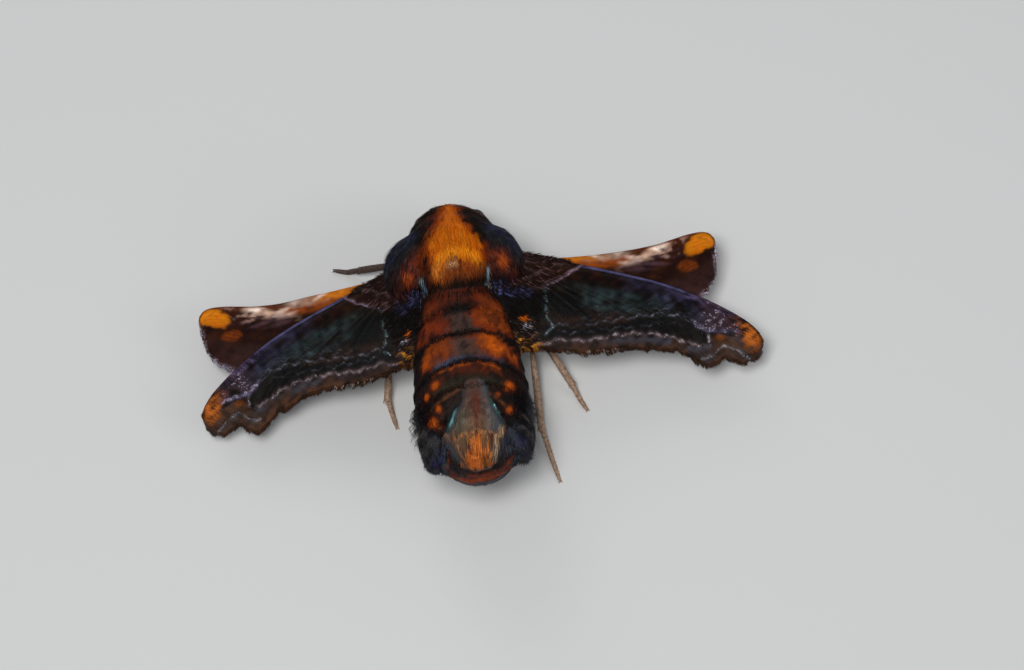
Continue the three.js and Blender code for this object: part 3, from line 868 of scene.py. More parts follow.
# Each coat piece: its name, the kinds of skin that it grows on, how many blades, their length, width
# and lift, the seed, the blades' build, the material, the slot, which roots are kept, the sway and
# the raggedness.
FRONT_COATS = (
    (
        "thorax_hair", ["thorax"], 12400, thorax_length, 0.043, 15, 21, "long", warm_hair, "orange_fur",
        bald, 0.13
    ),
    (
        "shoulder_hair", ["tegula"], 11600, shoulder_length, 0.049, shoulder_lift, 22, "long", dark_hair,
        "black_fur"
    ),
    ("head_hair", ["head", "palp"], 10500, head_length, 0.047, 18, 23, "short", warm_hair, "umber_fur"),
)
for row in FRONT_COATS:
    coat(*row)


def add_ramp(material, value, low_colour, high_colour, low, high):
    ramp = add_node(material, "ValToRGB", {"Fac": value})
    for stop, colour, place in zip(ramp.color_ramp.elements, (low_colour, high_colour), (low, high)):
        stop.color = (*colour, 1)
        stop.position = place
    return ramp.outputs["Color"]


# Hard skin, mottled between a dark and a light colour, with a fine bump.
def horn(name, dark, light, roughness, size):
    material = new_material(name)
    grain = add_noise(material, size, 5).outputs["Fac"]
    mottled = add_ramp(material, grain, dark, light, 0.36, 0.64)
    normal = add_bump(material, grain, 0.7, 0.03)
    return finish_shader(material, {"Roughness": roughness, "Base Color": mottled, "Normal": normal})


# A small bare spot on the rear of the thorax, where the hard shining skin shows between the hairs.
bare_at = waist + np.array([-0.2, 1.6, 0]) * MM
nearby = np.hypot(*(skin_points[:, :2] - bare_at[:2]).T) < 0.3 * MM
nearby &= skin_points[:, 2] > 8 * MM
bare_at = skin_points[nearby].mean(0)
bare_way = skin_ways[nearby].mean(0)
bpy.ops.object.select_all(action="DESELECT")
bpy.ops.mesh.primitive_ico_sphere_add(
    subdivisions=4, radius=MM, scale=(0.5, 0.36, 0.22), location=bare_at - bare_way * 0.08 * MM
)
bare_spot = bpy.context.object
bare_spot.name = "thorax_bare_spot"
bare_spot.rotation_euler = Vector(bare_way).to_track_quat("Z", "Y").to_euler()
bpy.ops.object.transform_apply(location=True, rotation=True, scale=True)
bumps = read_points(bare_spot.data)
bump_ways = read_points(bare_spot.data, "normal")
bumps += bump_ways * (0.05 * MM * unevenness((bumps - waist) / MM, 0.22, 9))[:, None]
write_points(bare_spot.data, bumps)
bpy.ops.object.shade_smooth()
complete(bare_spot, horn("bare_skin", paint(110, 62, 30), paint(178, 122, 76), 0.18, 0.3), "leg")


# Scales near a hind edge of a back plate are longer and stand off it a little, as a fringe.
def near_edge(drawn):
    share, turn = along_abdomen(drawn)[:2]
    gaps = np.array(RINGS)[None] - plate_share(share, turn)[:, None]
    gaps[gaps < -0.002] = 1
    return bell(gaps.min(1), 0.016)


def plate_length(drawn):
    return 0.5 + 0.15 * near_edge(drawn)


def plate_lift(drawn):
    return 7 + 3 * near_edge(drawn)


def fore_half(drawn):
    return along_abdomen(drawn)[0] < RINGS[2]


def hind_half(drawn):
    return along_abdomen(drawn)[0] >= RINGS[2]


# Longer grey hairs along both flanks of the hind part of the abdomen.
def flanks(drawn):
    share, turn = along_abdomen(drawn)[:2]
    return (np.abs(turn) > 66) & (np.abs(turn) < 116) & (share > 0.5)


def flank_length(drawn):
    share, turn = along_abdomen(drawn)[:2]
    longest = within(share, 0.56, 0.8, 0.04) * ease(np.abs(turn), 70, 84)
    return 0.8 + (0.8 + 0.5 * (turn < 0)) * longest


def flank_lift(drawn):
    return 20 + 22 * within(along_abdomen(drawn)[0], 0.56, 0.78, 0.04)


def bud_length(drawn):
    far = along_crest(drawn)[0]
    return 1.2 + 0.4 * within(far, 0.3, 0.7, 0.1) - 0.3 * ease(far, 0.7, 0.9)


def bud_lift(drawn):
    far = along_crest(drawn)[0]
    return 7 + 12 * within(far, 0.45, 0.68, 0.06) + 8 * ease(far, 0.72, 0.8)


# The rest of the coat, with rows like those of FRONT_COATS.
REAR_COATS = (
    (
        "abdomen_scales_front", ["abdomen"], 28000, plate_length, 0.074, plate_lift, 24, "short",
        plate_scales, "umber_fur", fore_half, 0.1
    ),
    (
        "abdomen_scales_rear", ["abdomen"], 28000, plate_length, 0.074, plate_lift, 25, "short",
        plate_scales, "umber_fur", hind_half, 0.1
    ),
    (
        "flank_hair", ["abdomen"], 40000, flank_length, 0.035, flank_lift, 28, "short", dark_hair,
        "black_fur", flanks, 0.2, 0.2
    ),
    (
        "tail_bud_hair", ["crest"], 9800, bud_length, 0.052, bud_lift, 26, "long", bud_hair, "crest_fur",
        None, 0.08
    ),
    (
        "tail_tuft_hair", ["tuft"], 7400, 1.1, 0.062, 15, 27, "long", dark_hair, "black_fur", None, 0.16,
        0.22
    ),
)
for row in REAR_COATS:
    coat(*row)

# ---- Eyes ----
# Large round compound eyes at the sides of the face, of hard clear facets over dark brown, set deep
# in the head. Each is a ball of small faces, every face inset and raised into a facet.
eye_gloss = new_material("eye_gloss")
eye_bands = add_noise(eye_gloss, 0.9, 2).outputs["Fac"]
eye_inputs = {
    "Roughness": 0.24, "Specular IOR Level": 0.16, "Coat Weight": 0.1, "Coat Roughness": 0.12,
    "Base Color": add_ramp(eye_gloss, eye_bands, (0.022, 0.011, 0.008), (0.105, 0.046, 0.024), 0.35, 0.75)
}
finish_shader(eye_gloss, eye_inputs)
for side in ("left", "right"):
    low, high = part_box(f"eye_{side}")
    bpy.ops.object.select_all(action="DESELECT")
    bpy.ops.mesh.primitive_ico_sphere_add(
        subdivisions=5, radius=(high.x - low.x) / 2, location=(low + high) / 2
    )
    eye = bpy.context.object
    eye.name = f"compound_eye_{side}"
    edit_whole(bpy.ops.mesh.inset, thickness=0.016 * MM, depth=0.014 * MM, use_individual=True)
    bpy.ops.object.transform_apply(location=True, rotation=True, scale=True)
    bpy.ops.object.shade_smooth()
    complete(eye, eye_gloss, "eye", f"eye_{side}")

# ---- Feelers and tongue ----
# Each feeler is a chain of rings, thickest beyond its middle and hooked at its end, lying back from
# the brow along the flank. The tongue is a long tube coiled up like a watch spring under the face.
def rod(name, path, widths, count, sides=3, ringed=0.0):
    shares = np.linspace(0, 1, count)
    line = smooth_line(path, shares) * MM + waist
    sizes = np.interp(shares, np.linspace(0, 1, len(widths)), widths)
    sizes = sizes * (1 - ringed * (np.arange(count) % 3 == 0))
    shape = bpy.data.curves.new(name, "CURVE")
    shape.dimensions = "3D"
    shape.bevel_depth = MM
    shape.bevel_resolution = sides
    shape.use_fill_caps = True
    run = shape.splines.new("POLY")
    run.points.add(count - 1)
    run.points.foreach_set("co", np.hstack([line, np.ones((count, 1))]).ravel())
    run.points.foreach_set("radius", sizes)
    piece = bpy.data.objects.new(name, shape)
    bpy.context.scene.collection.objects.link(piece)
    choose(piece)
    bpy.ops.object.convert(target="MESH")
    edit_whole(bpy.ops.mesh.remove_doubles, threshold=MERGE_WITHIN)
    edit_whole(bpy.ops.mesh.normals_make_consistent, inside=False)
    bpy.ops.object.shade_smooth()
    return bpy.context.object


def joined(name, pieces):
    choose(*pieces)
    bpy.ops.object.join()
    whole = bpy.context.object
    whole.name = name
    whole.data.name = name
    return whole


FEELER = [
    [1.9, 9.9, 6.0], [3.1, 9.6, 6.2], [4.5, 8.6, 5.7], [5.7, 7.0, 5.0], [6.4, 4.8, 4.5], [6.5, 2.6, 4.1],
    [6.2, 0.5, 3.9]
]
feeler_horn = horn("feeler_horn", paint(34, 26, 22), paint(64, 48, 40), 0.5, 0.35)
for side, sign in (("left", -1), ("right", 1)):
    path = np.array(FEELER) * [sign, 1, 1]
    for i in range(2, len(path)):
        nearest = ((skin_points - waist - path[i] * MM) ** 2).sum(1).argmin()
        path[i] = (skin_points[nearest] - waist) / MM + skin_ways[nearest] * 0.3
    feeler = rod(f"feeler_{side}", path, [0.2, 0.22, 0.27, 0.33, 0.36, 0.34, 0.05], 130, 4, 0.16)
    complete(feeler, feeler_horn, "leg", f"antenna_{side}")

coils = np.linspace(0, 1, 90)
coil_turn = coils * 2 * math.pi * 3.1 + 1.7
coil_reach = 0.74 - 0.6 * coils
coil_path = np.stack(
    [0 * coils, 11.5 + coil_reach * np.cos(coil_turn), 2.0 + coil_reach * np.sin(coil_turn)], 1
)
tongue = rod("coiled_tongue", coil_path, [0.115, 0.1, 0.09, 0.06], 180, 3, 0.08)
tongue_horn = horn("tongue_horn", paint(70, 44, 28), paint(120, 84, 52), 0.4, 0.3)
complete(tongue, tongue_horn, "leg", "proboscis")

# ---- Wings ----
# Each wing is a thin stiff blade on veins, covered with flat scales, with a raised leading edge and
# a ragged fringe along its outer margin. The forewings droop and hide the rear of the hindwings.
# A chord joins the leading and the trailing line at the same share of both.
FOREWING = {
    "leading": [
        [3.6, 4.3], [7.2, 3.2], [11, 2.1], [15, 0.9], [20.3, -0.9], [24.6, -3.0], [28.0, -5.3],
        [29.5, -7.0]
    ],
    "trailing": [
        [4.2, -6.9], [6.9, -6.6], [8.9, -7.0], [11, -7.3], [14.6, -7.1], [17.5, -7.2], [20.7, -7.8],
        [22.2, -8.7], [23.7, -9.7], [25.5, -9.1], [27.2, -9.6], [28.8, -9.3], [29.6, -8.2]
    ],
    "root_height": 9.5, "camber": 0.7
}
HINDWING = {
    "leading": [
        [3.6, 3.6], [7.2, 3.15], [10.4, 2.95], [15, 3.0], [20, 3.6], [23.8, 4.55], [25.6, 4.6],
        [26.4, 3.7]
    ],
    "trailing": [
        [4.2, -5.4], [7.2, -6.0], [11, -6.0], [15, -5.5], [20, -4.2], [23.6, -2.5], [25.3, -0.9],
        [26.1, 0.8]
    ],
    "root_height": 8.1, "camber": 0.35
}
# How each wing hangs: its side, its reach, how far it is swept back in radians, how much its tip and
# its rear edge sink, and how far it is let out ahead and behind, in millimetres.
WINGS = {
    "forewing_left": (
        FOREWING,
        {"sign": -1, "reach": 0.915, "sweep": 0, "droop": 5.9, "fall": 1.8, "ahead": 0.0, "behind": 0.55}
    ),
    "hindwing_left": (
        HINDWING,
        {"sign": -1, "reach": 1, "sweep": 0.044, "droop": 5.0, "fall": 0.8, "ahead": 0.4, "behind": 0.0}
    ),
    "forewing_right": (
        FOREWING,
        {"sign": 1, "reach": 1, "sweep": 0, "droop": 4.7, "fall": 1.8, "ahead": 0.0, "behind": 0.0}
    ),
    "hindwing_right": (
        HINDWING,
        {"sign": 1, "reach": 1, "sweep": 0, "droop": 3.7, "fall": 1.3, "ahead": 0.1, "behind": 0.0}
    )
}

# Where the wings' roots and tips are, the spans, how far the blade reaches along them, the depth of
# the fringe, the numbers of scales and hairs, and the cells of the grid that a blade is made from.
ROOT_OUT = 3.6
TIP_OUT = 29.6
BLADE_SPAN = 0.986
FORE_SPAN = 27
HIND_SPAN = 26
FRINGE = {"forewing": 0.5, "hindwing": 0.38}
VANES = {"forewing": 11500, "hindwing": 7000}
FRINGE_SCALES = {"forewing": 3200, "hindwing": 2600}
ROOT_HAIRS = 4300
CELLS = {"forewing": (210, 62), "hindwing": (150, 46)}


# A line read at even shares of its length, and a wing's chords in millimetres.
def even_line(points, shares):
    close = np.linspace(0, 1, 1601)
    line = smooth_line(points, close)
    run = np.concatenate([[0], np.cumsum(np.linalg.norm(np.diff(line, axis=0), axis=1))])
    return smooth_line(points, np.interp(shares * run[-1], run, close))


def chord_length(plan, share):
    steps = np.linspace(0, 1, 401)
    gap = np.linalg.norm(even_line(plan["leading"], steps) - even_line(plan["trailing"], steps), axis=1)
    return np.interp(share, steps, gap)


# Places on the middle of a wing's blade, in millimetres, at shares of its span and of its chord.
def wing_place(plan, hang, span, chord, above):
    flat = even_line(plan["leading"], span) * (1 - chord)[:, None]
    flat = flat + even_line(plan["trailing"], span) * chord[:, None]
    swept = Matrix.Rotation(-hang["sweep"], 2)
    flat = (flat - [ROOT_OUT, 0]) @ np.array(swept).T + [ROOT_OUT, 0]
    out = flat[:, 0] / TIP_OUT
    height = plan["root_height"] - hang["droop"] * (0.55 * out + 0.45 * out**2) - hang["fall"] * chord
    height = height + plan["camber"] * np.sin(math.pi * chord) + above
    return np.stack([hang["sign"] * flat[:, 0] * hang["reach"], flat[:, 1], height], 1)


# How far the blade stands up at veins and at its leading edge, in millimetres.
def wing_relief(plan, span, chord, is_fore):
    deep = chord * chord_length(plan, span)
    relief = 0.1 * bell(deep - 0.35, 0.28)
    ends = (0.3, 0.43, 0.55, 0.66, 0.76, 0.85, 0.93) if is_fore else (0.35, 0.5, 0.64, 0.77, 0.9)
    for end in ends:
        vein = 0.1 + 0.9 * np.clip(span / end, 0, 1.3) ** 1.7
        gap = (chord - vein) * chord_length(plan, span)
        relief = relief + 0.055 * bell(gap, 0.13) * ease(span, 0.03, 0.12)
        relief = relief - 0.02 * bell(gap - 0.3, 0.25)
    return relief


# A wavy cross line on a forewing: how near places are to it, in shares, for a line of some width.
def cross_line(plan, span, chord, spans, chords, width, seed, wave=0.13):
    sway = wave * np.sin(span * 88 + seed) + 0.5 * wave * np.sin(span * 211 + 2 * seed)
    gap = (chord - np.interp(span, spans, chords)) * chord_length(plan, span) + sway
    broken = 0.6 + 0.4 * np.sin(span * 143 + 3 * seed) * np.sin(span * 57 + seed)
    return bell(gap, width) * within(span, spans[0], spans[-1], 0.012) * broken


# A soft oval mark on a wing, uneven at its edge, with its half sizes in millimetres.
def oval_mark(span, chord, long_way, centre, half, rough, slant=0.0):
    out = (span - centre[0]) * FORE_SPAN
    back = (chord - centre[1]) * long_way - slant * out
    return 1 - ease((out / half[0]) ** 2 + (back / half[1]) ** 2 + 0.25 * rough, 0.55, 1.25)


# Colours of a forewing, and how thickly pale scales are sprinkled over them from 0 to 1.
def forewing_marks(plan, span, chord, drawn):
    mottle = unevenness(drawn[:, :2], 1.7, 41)
    fine = unevenness(drawn[:, :2], 0.45, 42)
    tiny = unevenness(drawn[:, :2], 0.2, 43)
    long_way = chord_length(plan, span)
    deep = chord * long_way
    ripple = np.sin(deep * 3.3 + 1.2 * np.sin(span * 44) + 0.6 * mottle)
    rays = np.sin(span * 74 + 2.4 * chord + 0.8 * mottle)
    colours = lay_on(paint(22, 17, 12), paint(31, 26, 21), 0.5 + 0.5 * mottle)
    # The first three rows are painted sheen, violet and teal, in bands along the ripple and the rays; the
    # last two are brown areas.
    painted_sheens_and_browns = (
        (paint(48, 43, 64), 0.7, 0.46, 0.8, 0.03, 0.26, ripple),
        (paint(40, 50, 51), 0.95, 0.28, 0.62, 0.26, 0.56, ripple),
        (paint(50, 52, 68), 0.8, 0.56, 0.8, 0.2, 0.42, rays),
        (paint(46, 22, 12), 0.9, 0.24, 0.46, 0.03, 0.2, rays),
        (paint(46, 30, 24), 0.8, 0.2, 0.5, 0.56, 0.72, rays),
    )
    for colour, amount, start, end, low, high, waves in painted_sheens_and_browns:
        area = within(span, start, end, 0.06) * within(chord, low, high, 0.07)
        area = area * (0.6 + 0.3 * waves + 0.3 * mottle + 0.15 * fine)
        colours = lay_on(colours, colour, amount * area)
    # Dark radial streaks where the rays peak, painted as shade along the veins.
    dark_rays = within(span, 0.22, 0.78, 0.05) * within(chord, 0.12, 0.62, 0.1)
    colours = lay_on(colours, paint(12, 10, 8), 0.5 * ease(rays, 0.2, 1.0) * dark_rays)
    frost = 0.006 + 0.01 * ease(mottle, 0, 1)

    # Behind the wavy lines: a black band, then brown to the margin.
    inner = np.interp(
        span, [0, 0.2, 0.3, 0.4, 0.5, 0.6, 0.73, 1], [0.72, 0.72, 0.71, 0.68, 0.6, 0.5, 0.44, 0.42]
    )
    outer_spans = [0, 0.12, 0.2, 0.375, 0.49, 0.56, 0.63, 0.69, 0.77, 1]
    outer = np.interp(span, outer_spans, [0.95, 0.93, 0.84, 0.84, 0.81, 0.79, 0.79, 0.77, 0.62, 0.3])
    band = ease(chord + 0.02 * fine, inner + 0.01, inner + 0.05) * (1 - ease(chord, outer - 0.05, outer))
    band = band * ease(0.8 - span, 0, 0.05) * (1 - 0.45 * within(span, 0.64, 0.8, 0.04))
    margin = ease(chord + 0.015 * fine, outer, outer + 0.05)
    brown = lay_on(paint(58, 42, 34), paint(40, 30, 26), 0.5 + 0.5 * mottle)
    near_margin = ease((chord - 1) * long_way, -0.9, -0.1)
    behind_pink = bell((chord - outer) * long_way - 0.5, 0.35) * ease(span, 0.3, 0.45)
    colours = layered(
        colours,
        (paint(14, 13, 12), 0.9 * band),
        (lay_on(brown, paint(66, 50, 42), 0.7 * ease(span, 0.6, 0.85)), margin),
        (paint(84, 54, 36), 0.6 * margin * near_margin * ease(fine, -0.6, 0.6)),
        (paint(62, 62, 70), 0.7 * margin * behind_pink * ease(mottle, -0.8, 0.6)),
    )

    pink_spans = [0.09, 0.13, 0.2, 0.32, 0.375, 0.49, 0.56, 0.63, 0.69, 0.74]
    pink_chords = [0.95, 0.925, 0.85, 0.86, 0.84, 0.805, 0.79, 0.795, 0.775, 0.7]
    pink = cross_line(plan, span, chord, pink_spans, pink_chords, 0.12, 4, 0.1)
    pink_glow = cross_line(plan, span, chord, pink_spans, pink_chords, 0.3, 4, 0.1)
    lines = (
        (
            [0.17, 0.25, 0.33, 0.41, 0.5, 0.6, 0.75], [0.71, 0.71, 0.69, 0.66, 0.585, 0.49, 0.42], 0.09,
            1, 98, 0.8
        ),
        ([0.2, 0.3, 0.4, 0.5, 0.58, 0.66], [0.78, 0.77, 0.755, 0.71, 0.63, 0.57], 0.07, 2, 92, 0.6),
        ([0.28, 0.4, 0.5, 0.6, 0.72], [0.62, 0.58, 0.5, 0.41, 0.34], 0.07, 3, 78, 0.6),
        ([0.3, 0.42, 0.52, 0.62, 0.72], [0.66, 0.625, 0.55, 0.46, 0.38], 0.06, 6, 70, 0.55),
        ([0.34, 0.46, 0.58, 0.7], [0.52, 0.45, 0.36, 0.27], 0.06, 8, 60, 0.5),
    )
    broken = (0.7 + 0.4 * fine) * (0.55 + 0.45 * ease(tiny, -0.6, 0.6))
    for spans, chords, width, seed, light, strength in lines:
        line = cross_line(plan, span, chord, spans, chords, width, seed)
        shade = cross_line(plan, span, chord, spans, [c - 0.022 for c in chords], 0.1, seed)
        colours = layered(
            colours,
            (paint(10, 9, 8), 0.6 * shade),
            (paint(light * 0.98, light, light * 1.12), strength * line * broken),
        )
        frost = frost + 0.2 * strength * line * broken
    colours = layered(
        colours,
        (paint(66, 54, 58), 0.6 * pink_glow),
        (paint(132, 114, 114), 0.85 * pink * (0.8 + 0.3 * fine)),
    )
    frost = frost + 0.34 * pink

    # The tip: a frosted patch, an orange patch along the margin, and pale arcs round it.
    frosted = within(span, 0.75, 0.9, 0.04) * (1 - ease(chord, 0.44, 0.54)) * ease(0.7 + mottle, 0.0, 0.6)
    frost = frost + 0.2 * frosted * ease(fine + mottle, -0.6, 0.8)
    edge_line = np.interp(span, [0.7, 0.76, 0.82, 0.9], [0.43, 0.49, 0.5, 0.34])
    edge_line = edge_line + 0.012 * np.sin(span * 150)
    frost_edge = bell(chord - edge_line, 0.035) * within(span, 0.71, 0.9, 0.02)
    frost = frost + 0.4 * frost_edge * ease(fine, -0.9, 0.5)
    lilac = within(span, 0.68, 0.86, 0.04) * within(deep, 0.15, 0.9, 0.25)
    tip = within(span + 0.006 * fine, 0.905, 0.992, 0.02) * within(chord + 0.06 * fine, 0.1, 0.66, 0.12)
    inner_tip = within(span, 0.86, 0.925, 0.02) * within(chord, 0.12, 0.42, 0.1) * (1 - tip)
    dusk = within(span, 0.78, 0.9, 0.03) * within(chord, 0.55, 0.72, 0.05)
    small = oval_mark(span, chord, long_way, (0.815, 0.6), (0.5, 0.3), fine)
    arc_spans = [0.73, 0.78, 0.83, 0.865, 0.9, 0.93]
    arc_chords = [0.9, 0.84, 0.74, 0.72, 0.8, 0.9]
    arc = cross_line(plan, span, chord, arc_spans, arc_chords, 0.1, 5, 0.06)
    arc_glow = cross_line(plan, span, chord, arc_spans, arc_chords, 0.45, 5, 0.06)
    frost = frost + 0.35 * arc
    streak = bell((span - 0.768) * FORE_SPAN + 0.1 * fine, 0.11) * within(chord, 0.56, 0.7, 0.03)
    colours = layered(
        colours,
        (paint(60, 46, 52), 0.75 * frosted),
        (paint(92, 84, 108), 0.6 * frost_edge),
        (paint(84, 72, 104), 0.5 * lilac * ease(tiny, -0.3, 0.7)),
        (paint(74, 44, 26), 0.9 * tip),
        (paint(166, 88, 32), 0.85 * tip * ease(fine + 0.9 * tiny, -2.0, 0.3)),
        (paint(112, 58, 26), 0.4 * inner_tip * ease(fine + tiny, -0.6, 0.8)),
        (paint(70, 46, 30), 0.7 * dusk),
        (paint(112, 58, 24), 0.7 * small),
        (paint(64, 66, 70), 0.6 * arc_glow * ease(mottle, -1, 0.4)),
        (paint(140, 136, 140), 0.75 * arc * broken),
        (paint(156, 148, 154), 0.85 * streak * broken),
    )
    frost = frost + 0.3 * streak

    # The leading edge is lavender-grey; the root has velvet patches bounded by a pale line.
    costa = within(deep, 0.02, 0.3, 0.08)
    bound_chords = [0.0, 0.1, 0.16, 0.33, 0.55, 0.63, 0.74, 0.85, 1]
    bound = np.interp(chord, bound_chords, [0.33, 0.29, 0.27, 0.18, 0.172, 0.165, 0.185, 0.14, 0.05])
    within_root = 1 - ease(span, bound - 0.012, bound)
    beyond = within(span, bound + 0.01, bound + 0.13, 0.03) * within(chord, 0.36, 0.62, 0.06)
    velvet = within_root * within(chord, 0.4, 0.66, 0.06)
    frost = frost * (1 - velvet) * (1 - beyond)
    root = within_root * (1 - ease(chord, 0.3, 0.4))
    streaks = np.sin(deep * 4.2 + 3 * span * FORE_SPAN + 1.5 * fine)
    edge = bell((span - bound) * FORE_SPAN + 0.1 * fine, 0.13) * (1 - ease(chord, 0.8, 0.95))
    teal_edge = edge * ease(chord - 0.26, 0, 0.1)
    frost = frost + 0.2 * edge
    shoulder = (1 - ease(span, 0.1, 0.13)) * within(chord + 0.02 * fine, 0.36, 0.44, 0.02)
    rows = ease(np.sin(deep * 17 + 0.5 * fine), -0.2, 0.7) * ease(np.sin(span * 270 + deep * 5), -0.5, 0.5)
    corner = oval_mark(span, chord, long_way, (0.08, 0.668), (0.42, 0.3), fine)
    bow = (chord - 0.735) * long_way - 1.3 * ((span - 0.09) * FORE_SPAN) ** 2
    glint = bell(bow, 0.13) * within(span, 0.072, 0.115, 0.01)
    dots = ease(np.sin(span * 330), -0.6, 0.2)
    frost = frost + 0.4 * glint
    gold = (1 - ease(span, 0.1, 0.15)) * within(chord + 0.02 * mottle, 0.82, 0.98, 0.05)
    gold_lines = ease(np.sin((deep + 0.55 * span * FORE_SPAN) * 7 + 1.2 * fine), 0.1, 0.8)
    inward = (1 - ease(span, 0.12, 0.17)) * ease(chord, 0.68, 0.76) * (1 - gold) * (1 - corner)
    colours = layered(
        colours,
        (paint(82, 80, 116), 0.85 * costa * within(span, 0.33, 0.7, 0.06)),
        (paint(78, 62, 82), 0.6 * costa * within(span, 0.72, 0.88, 0.04)),
        (paint(48, 28, 20), 0.8 * costa * (1 - ease(span, 0.25, 0.33))),
        (paint(10, 9, 7), 0.9 * beyond),
        (paint(10, 9, 7), 0.97 * velvet),
        (paint(40, 25, 19), 0.9 * root),
        (paint(112, 84, 88), 0.42 * root * ease(streaks, 0.55, 0.95) * ease(span, 0.06, 0.16)),
        (paint(112, 92, 106), 0.8 * edge * ease(0.34 - chord, 0, 0.1)),
        (paint(62, 82, 84), 0.7 * teal_edge * ease(fine + 0.5 * tiny, -0.5, 0.5)),
        (paint(26, 26, 40), 0.8 * shoulder),
        (paint(96, 98, 150), 0.8 * shoulder * rows),
        (paint(204, 98, 22), 0.95 * corner),
        (paint(206, 200, 212), 0.9 * glint * dots),
        (paint(48, 32, 20), 0.7 * gold),
        (paint(190, 122, 40), 0.85 * gold * gold_lines * ease(tiny, -0.8, 0.3)),
        (paint(36, 28, 24), 0.7 * inward * (1 - glint)),
    )
    colours = colours * (1 + 0.22 * fine + 0.28 * tiny)[:, None]
    return np.clip(colours, 0.002, 1), np.clip(frost, 0, 1)


def hindwing_marks(plan, span, chord, drawn):
    mottle = unevenness(drawn[:, :2], 1.5, 51)
    fine = unevenness(drawn[:, :2], 0.4, 52)
    long_way = chord_length(plan, span)
    deep = chord * long_way
    out = span * HIND_SPAN
    turned = np.stack([0.3 * (out * 0.9 + deep * 0.45), 1.2 * (deep * 0.9 - out * 0.45)], 1)
    strands = unevenness(turned, 0.42, 53)
    colours = lay_on(paint(52, 28, 18), paint(34, 18, 12), 0.5 + 0.5 * mottle)
    plum = within(deep, 1.0, 2.3, 0.4) * within(span, 0.56, 0.82, 0.06) * ease(strands, -0.8, 0.8)
    fan = np.sin(deep * 5.2 + span * 9 + 0.7 * mottle)
    colours = layered(
        colours,
        (paint(72, 40, 24), 0.6 * within(span, 0.25, 0.66, 0.08) * within(deep, 0.3, 1.5, 0.4)),
        (paint(62, 40, 34), 0.7 * ease(deep, 4.0, 6.0)),
        (paint(84, 62, 70), 0.55 * plum),
        (paint(26, 14, 9), 0.4 * ease(fan, 0.2, 1.0) * (0.6 + 0.4 * strands)),
    )
    frost = 0.006 + 0.01 * ease(mottle, 0, 1)

    # Leading edge: orange from the root, turning pinkish white in streaky patches.
    lead = 1 - ease(deep + 0.12 * strands, 0.36 - 0.16 * ease(0.4 - span, 0, 0.2), 0.78)
    amber = 1 - ease(span + 0.03 * strands, 0.36, 0.53)
    under_lead = within(deep + 0.1 * strands, 0.5, 1.3, 0.25) * within(span, 0.28, 0.6, 0.05)
    pale = 0.6 * lead * within(span + 0.03 * strands, 0.44, 0.585, 0.035)
    slanted = span + 0.045 * (deep - 0.6) + 0.014 * strands
    pale = pale + within(deep + 0.3 * strands, 0.18, 1.0, 0.2) * within(slanted, 0.645, 0.765, 0.02)
    pale = pale + 0.4 * within(deep + 0.3 * strands, 0.8, 1.6, 0.25) * within(slanted, 0.57, 0.7, 0.03)
    speckled = within(deep, 0.15, 1.7, 0.3) * within(slanted, 0.775, 0.845, 0.015)
    colours = layered(
        colours,
        (paint(198, 112, 30), 0.95 * lead * amber),
        (paint(138, 66, 24), 0.8 * under_lead),
        (paint(88, 46, 26), 0.7 * lead * ease(span, 0.55, 0.64)),
        (paint(196, 158, 136), 0.85 * pale),
        (paint(240, 218, 202), 0.7 * pale * ease(strands, -0.1, 0.8)),
        (paint(96, 46, 26), 0.7 * within(deep, -0.3, 0.22, 0.08) * within(span, 0.62, 0.9, 0.02)),
        (paint(150, 118, 104), 0.75 * speckled * ease(strands + fine, -0.3, 0.5)),
        (paint(60, 30, 20), 0.6 * speckled * ease(-strands - fine, 0.0, 0.8)),
    )

    # The tip: an orange oval with a fainter one behind it.
    oval = ((span - 0.912) / 0.078) ** 2 + ((chord - 0.19 + 0.5 * (span - 0.915)) / 0.165) ** 2
    oval = 1 - ease(oval + 0.12 * fine + 0.14 * strands, 0.5, 1.3)
    rows = np.sin(deep * 17 + out * 2.5 + 0.8 * fine)
    faint = oval_mark(span, chord, long_way, (0.83, 0.46), (1.35, 0.6), fine + strands, 0.25)
    dusk = within(chord, 0.55, 0.95, 0.08) * ease(span, 0.55, 0.7)
    rim = ease(span, 0.955, 0.985) + ease(chord, 0.88, 0.96) * ease(span, 0.78, 0.88)
    rim = rim * ease(chord, 0.22, 0.4)
    colours = layered(
        colours,
        (paint(206, 116, 18), 0.97 * oval),
        (paint(158, 72, 12), 0.65 * oval * ease(0.5 * fine + 0.5 * strands + chord * 4 - 0.5, 0, 0.9)),
        (paint(236, 156, 48), 0.24 * oval * ease(rows, 0.1, 0.9) * (1 - ease(chord, 0.2, 0.4))),
        (paint(138, 64, 14), 0.5 * faint * ease(rows, -2.4, 0.4)),
        (paint(52, 36, 36), 0.45 * dusk),
        (paint(150, 140, 160), 0.5 * rim * ease(fine + strands, -0.4, 0.6)),
    )
    frost = frost + 0.45 * rim
    return np.clip(colours * (1 + 0.18 * fine + 0.16 * strands)[:, None], 0.002, 1), np.clip(frost, 0, 1)


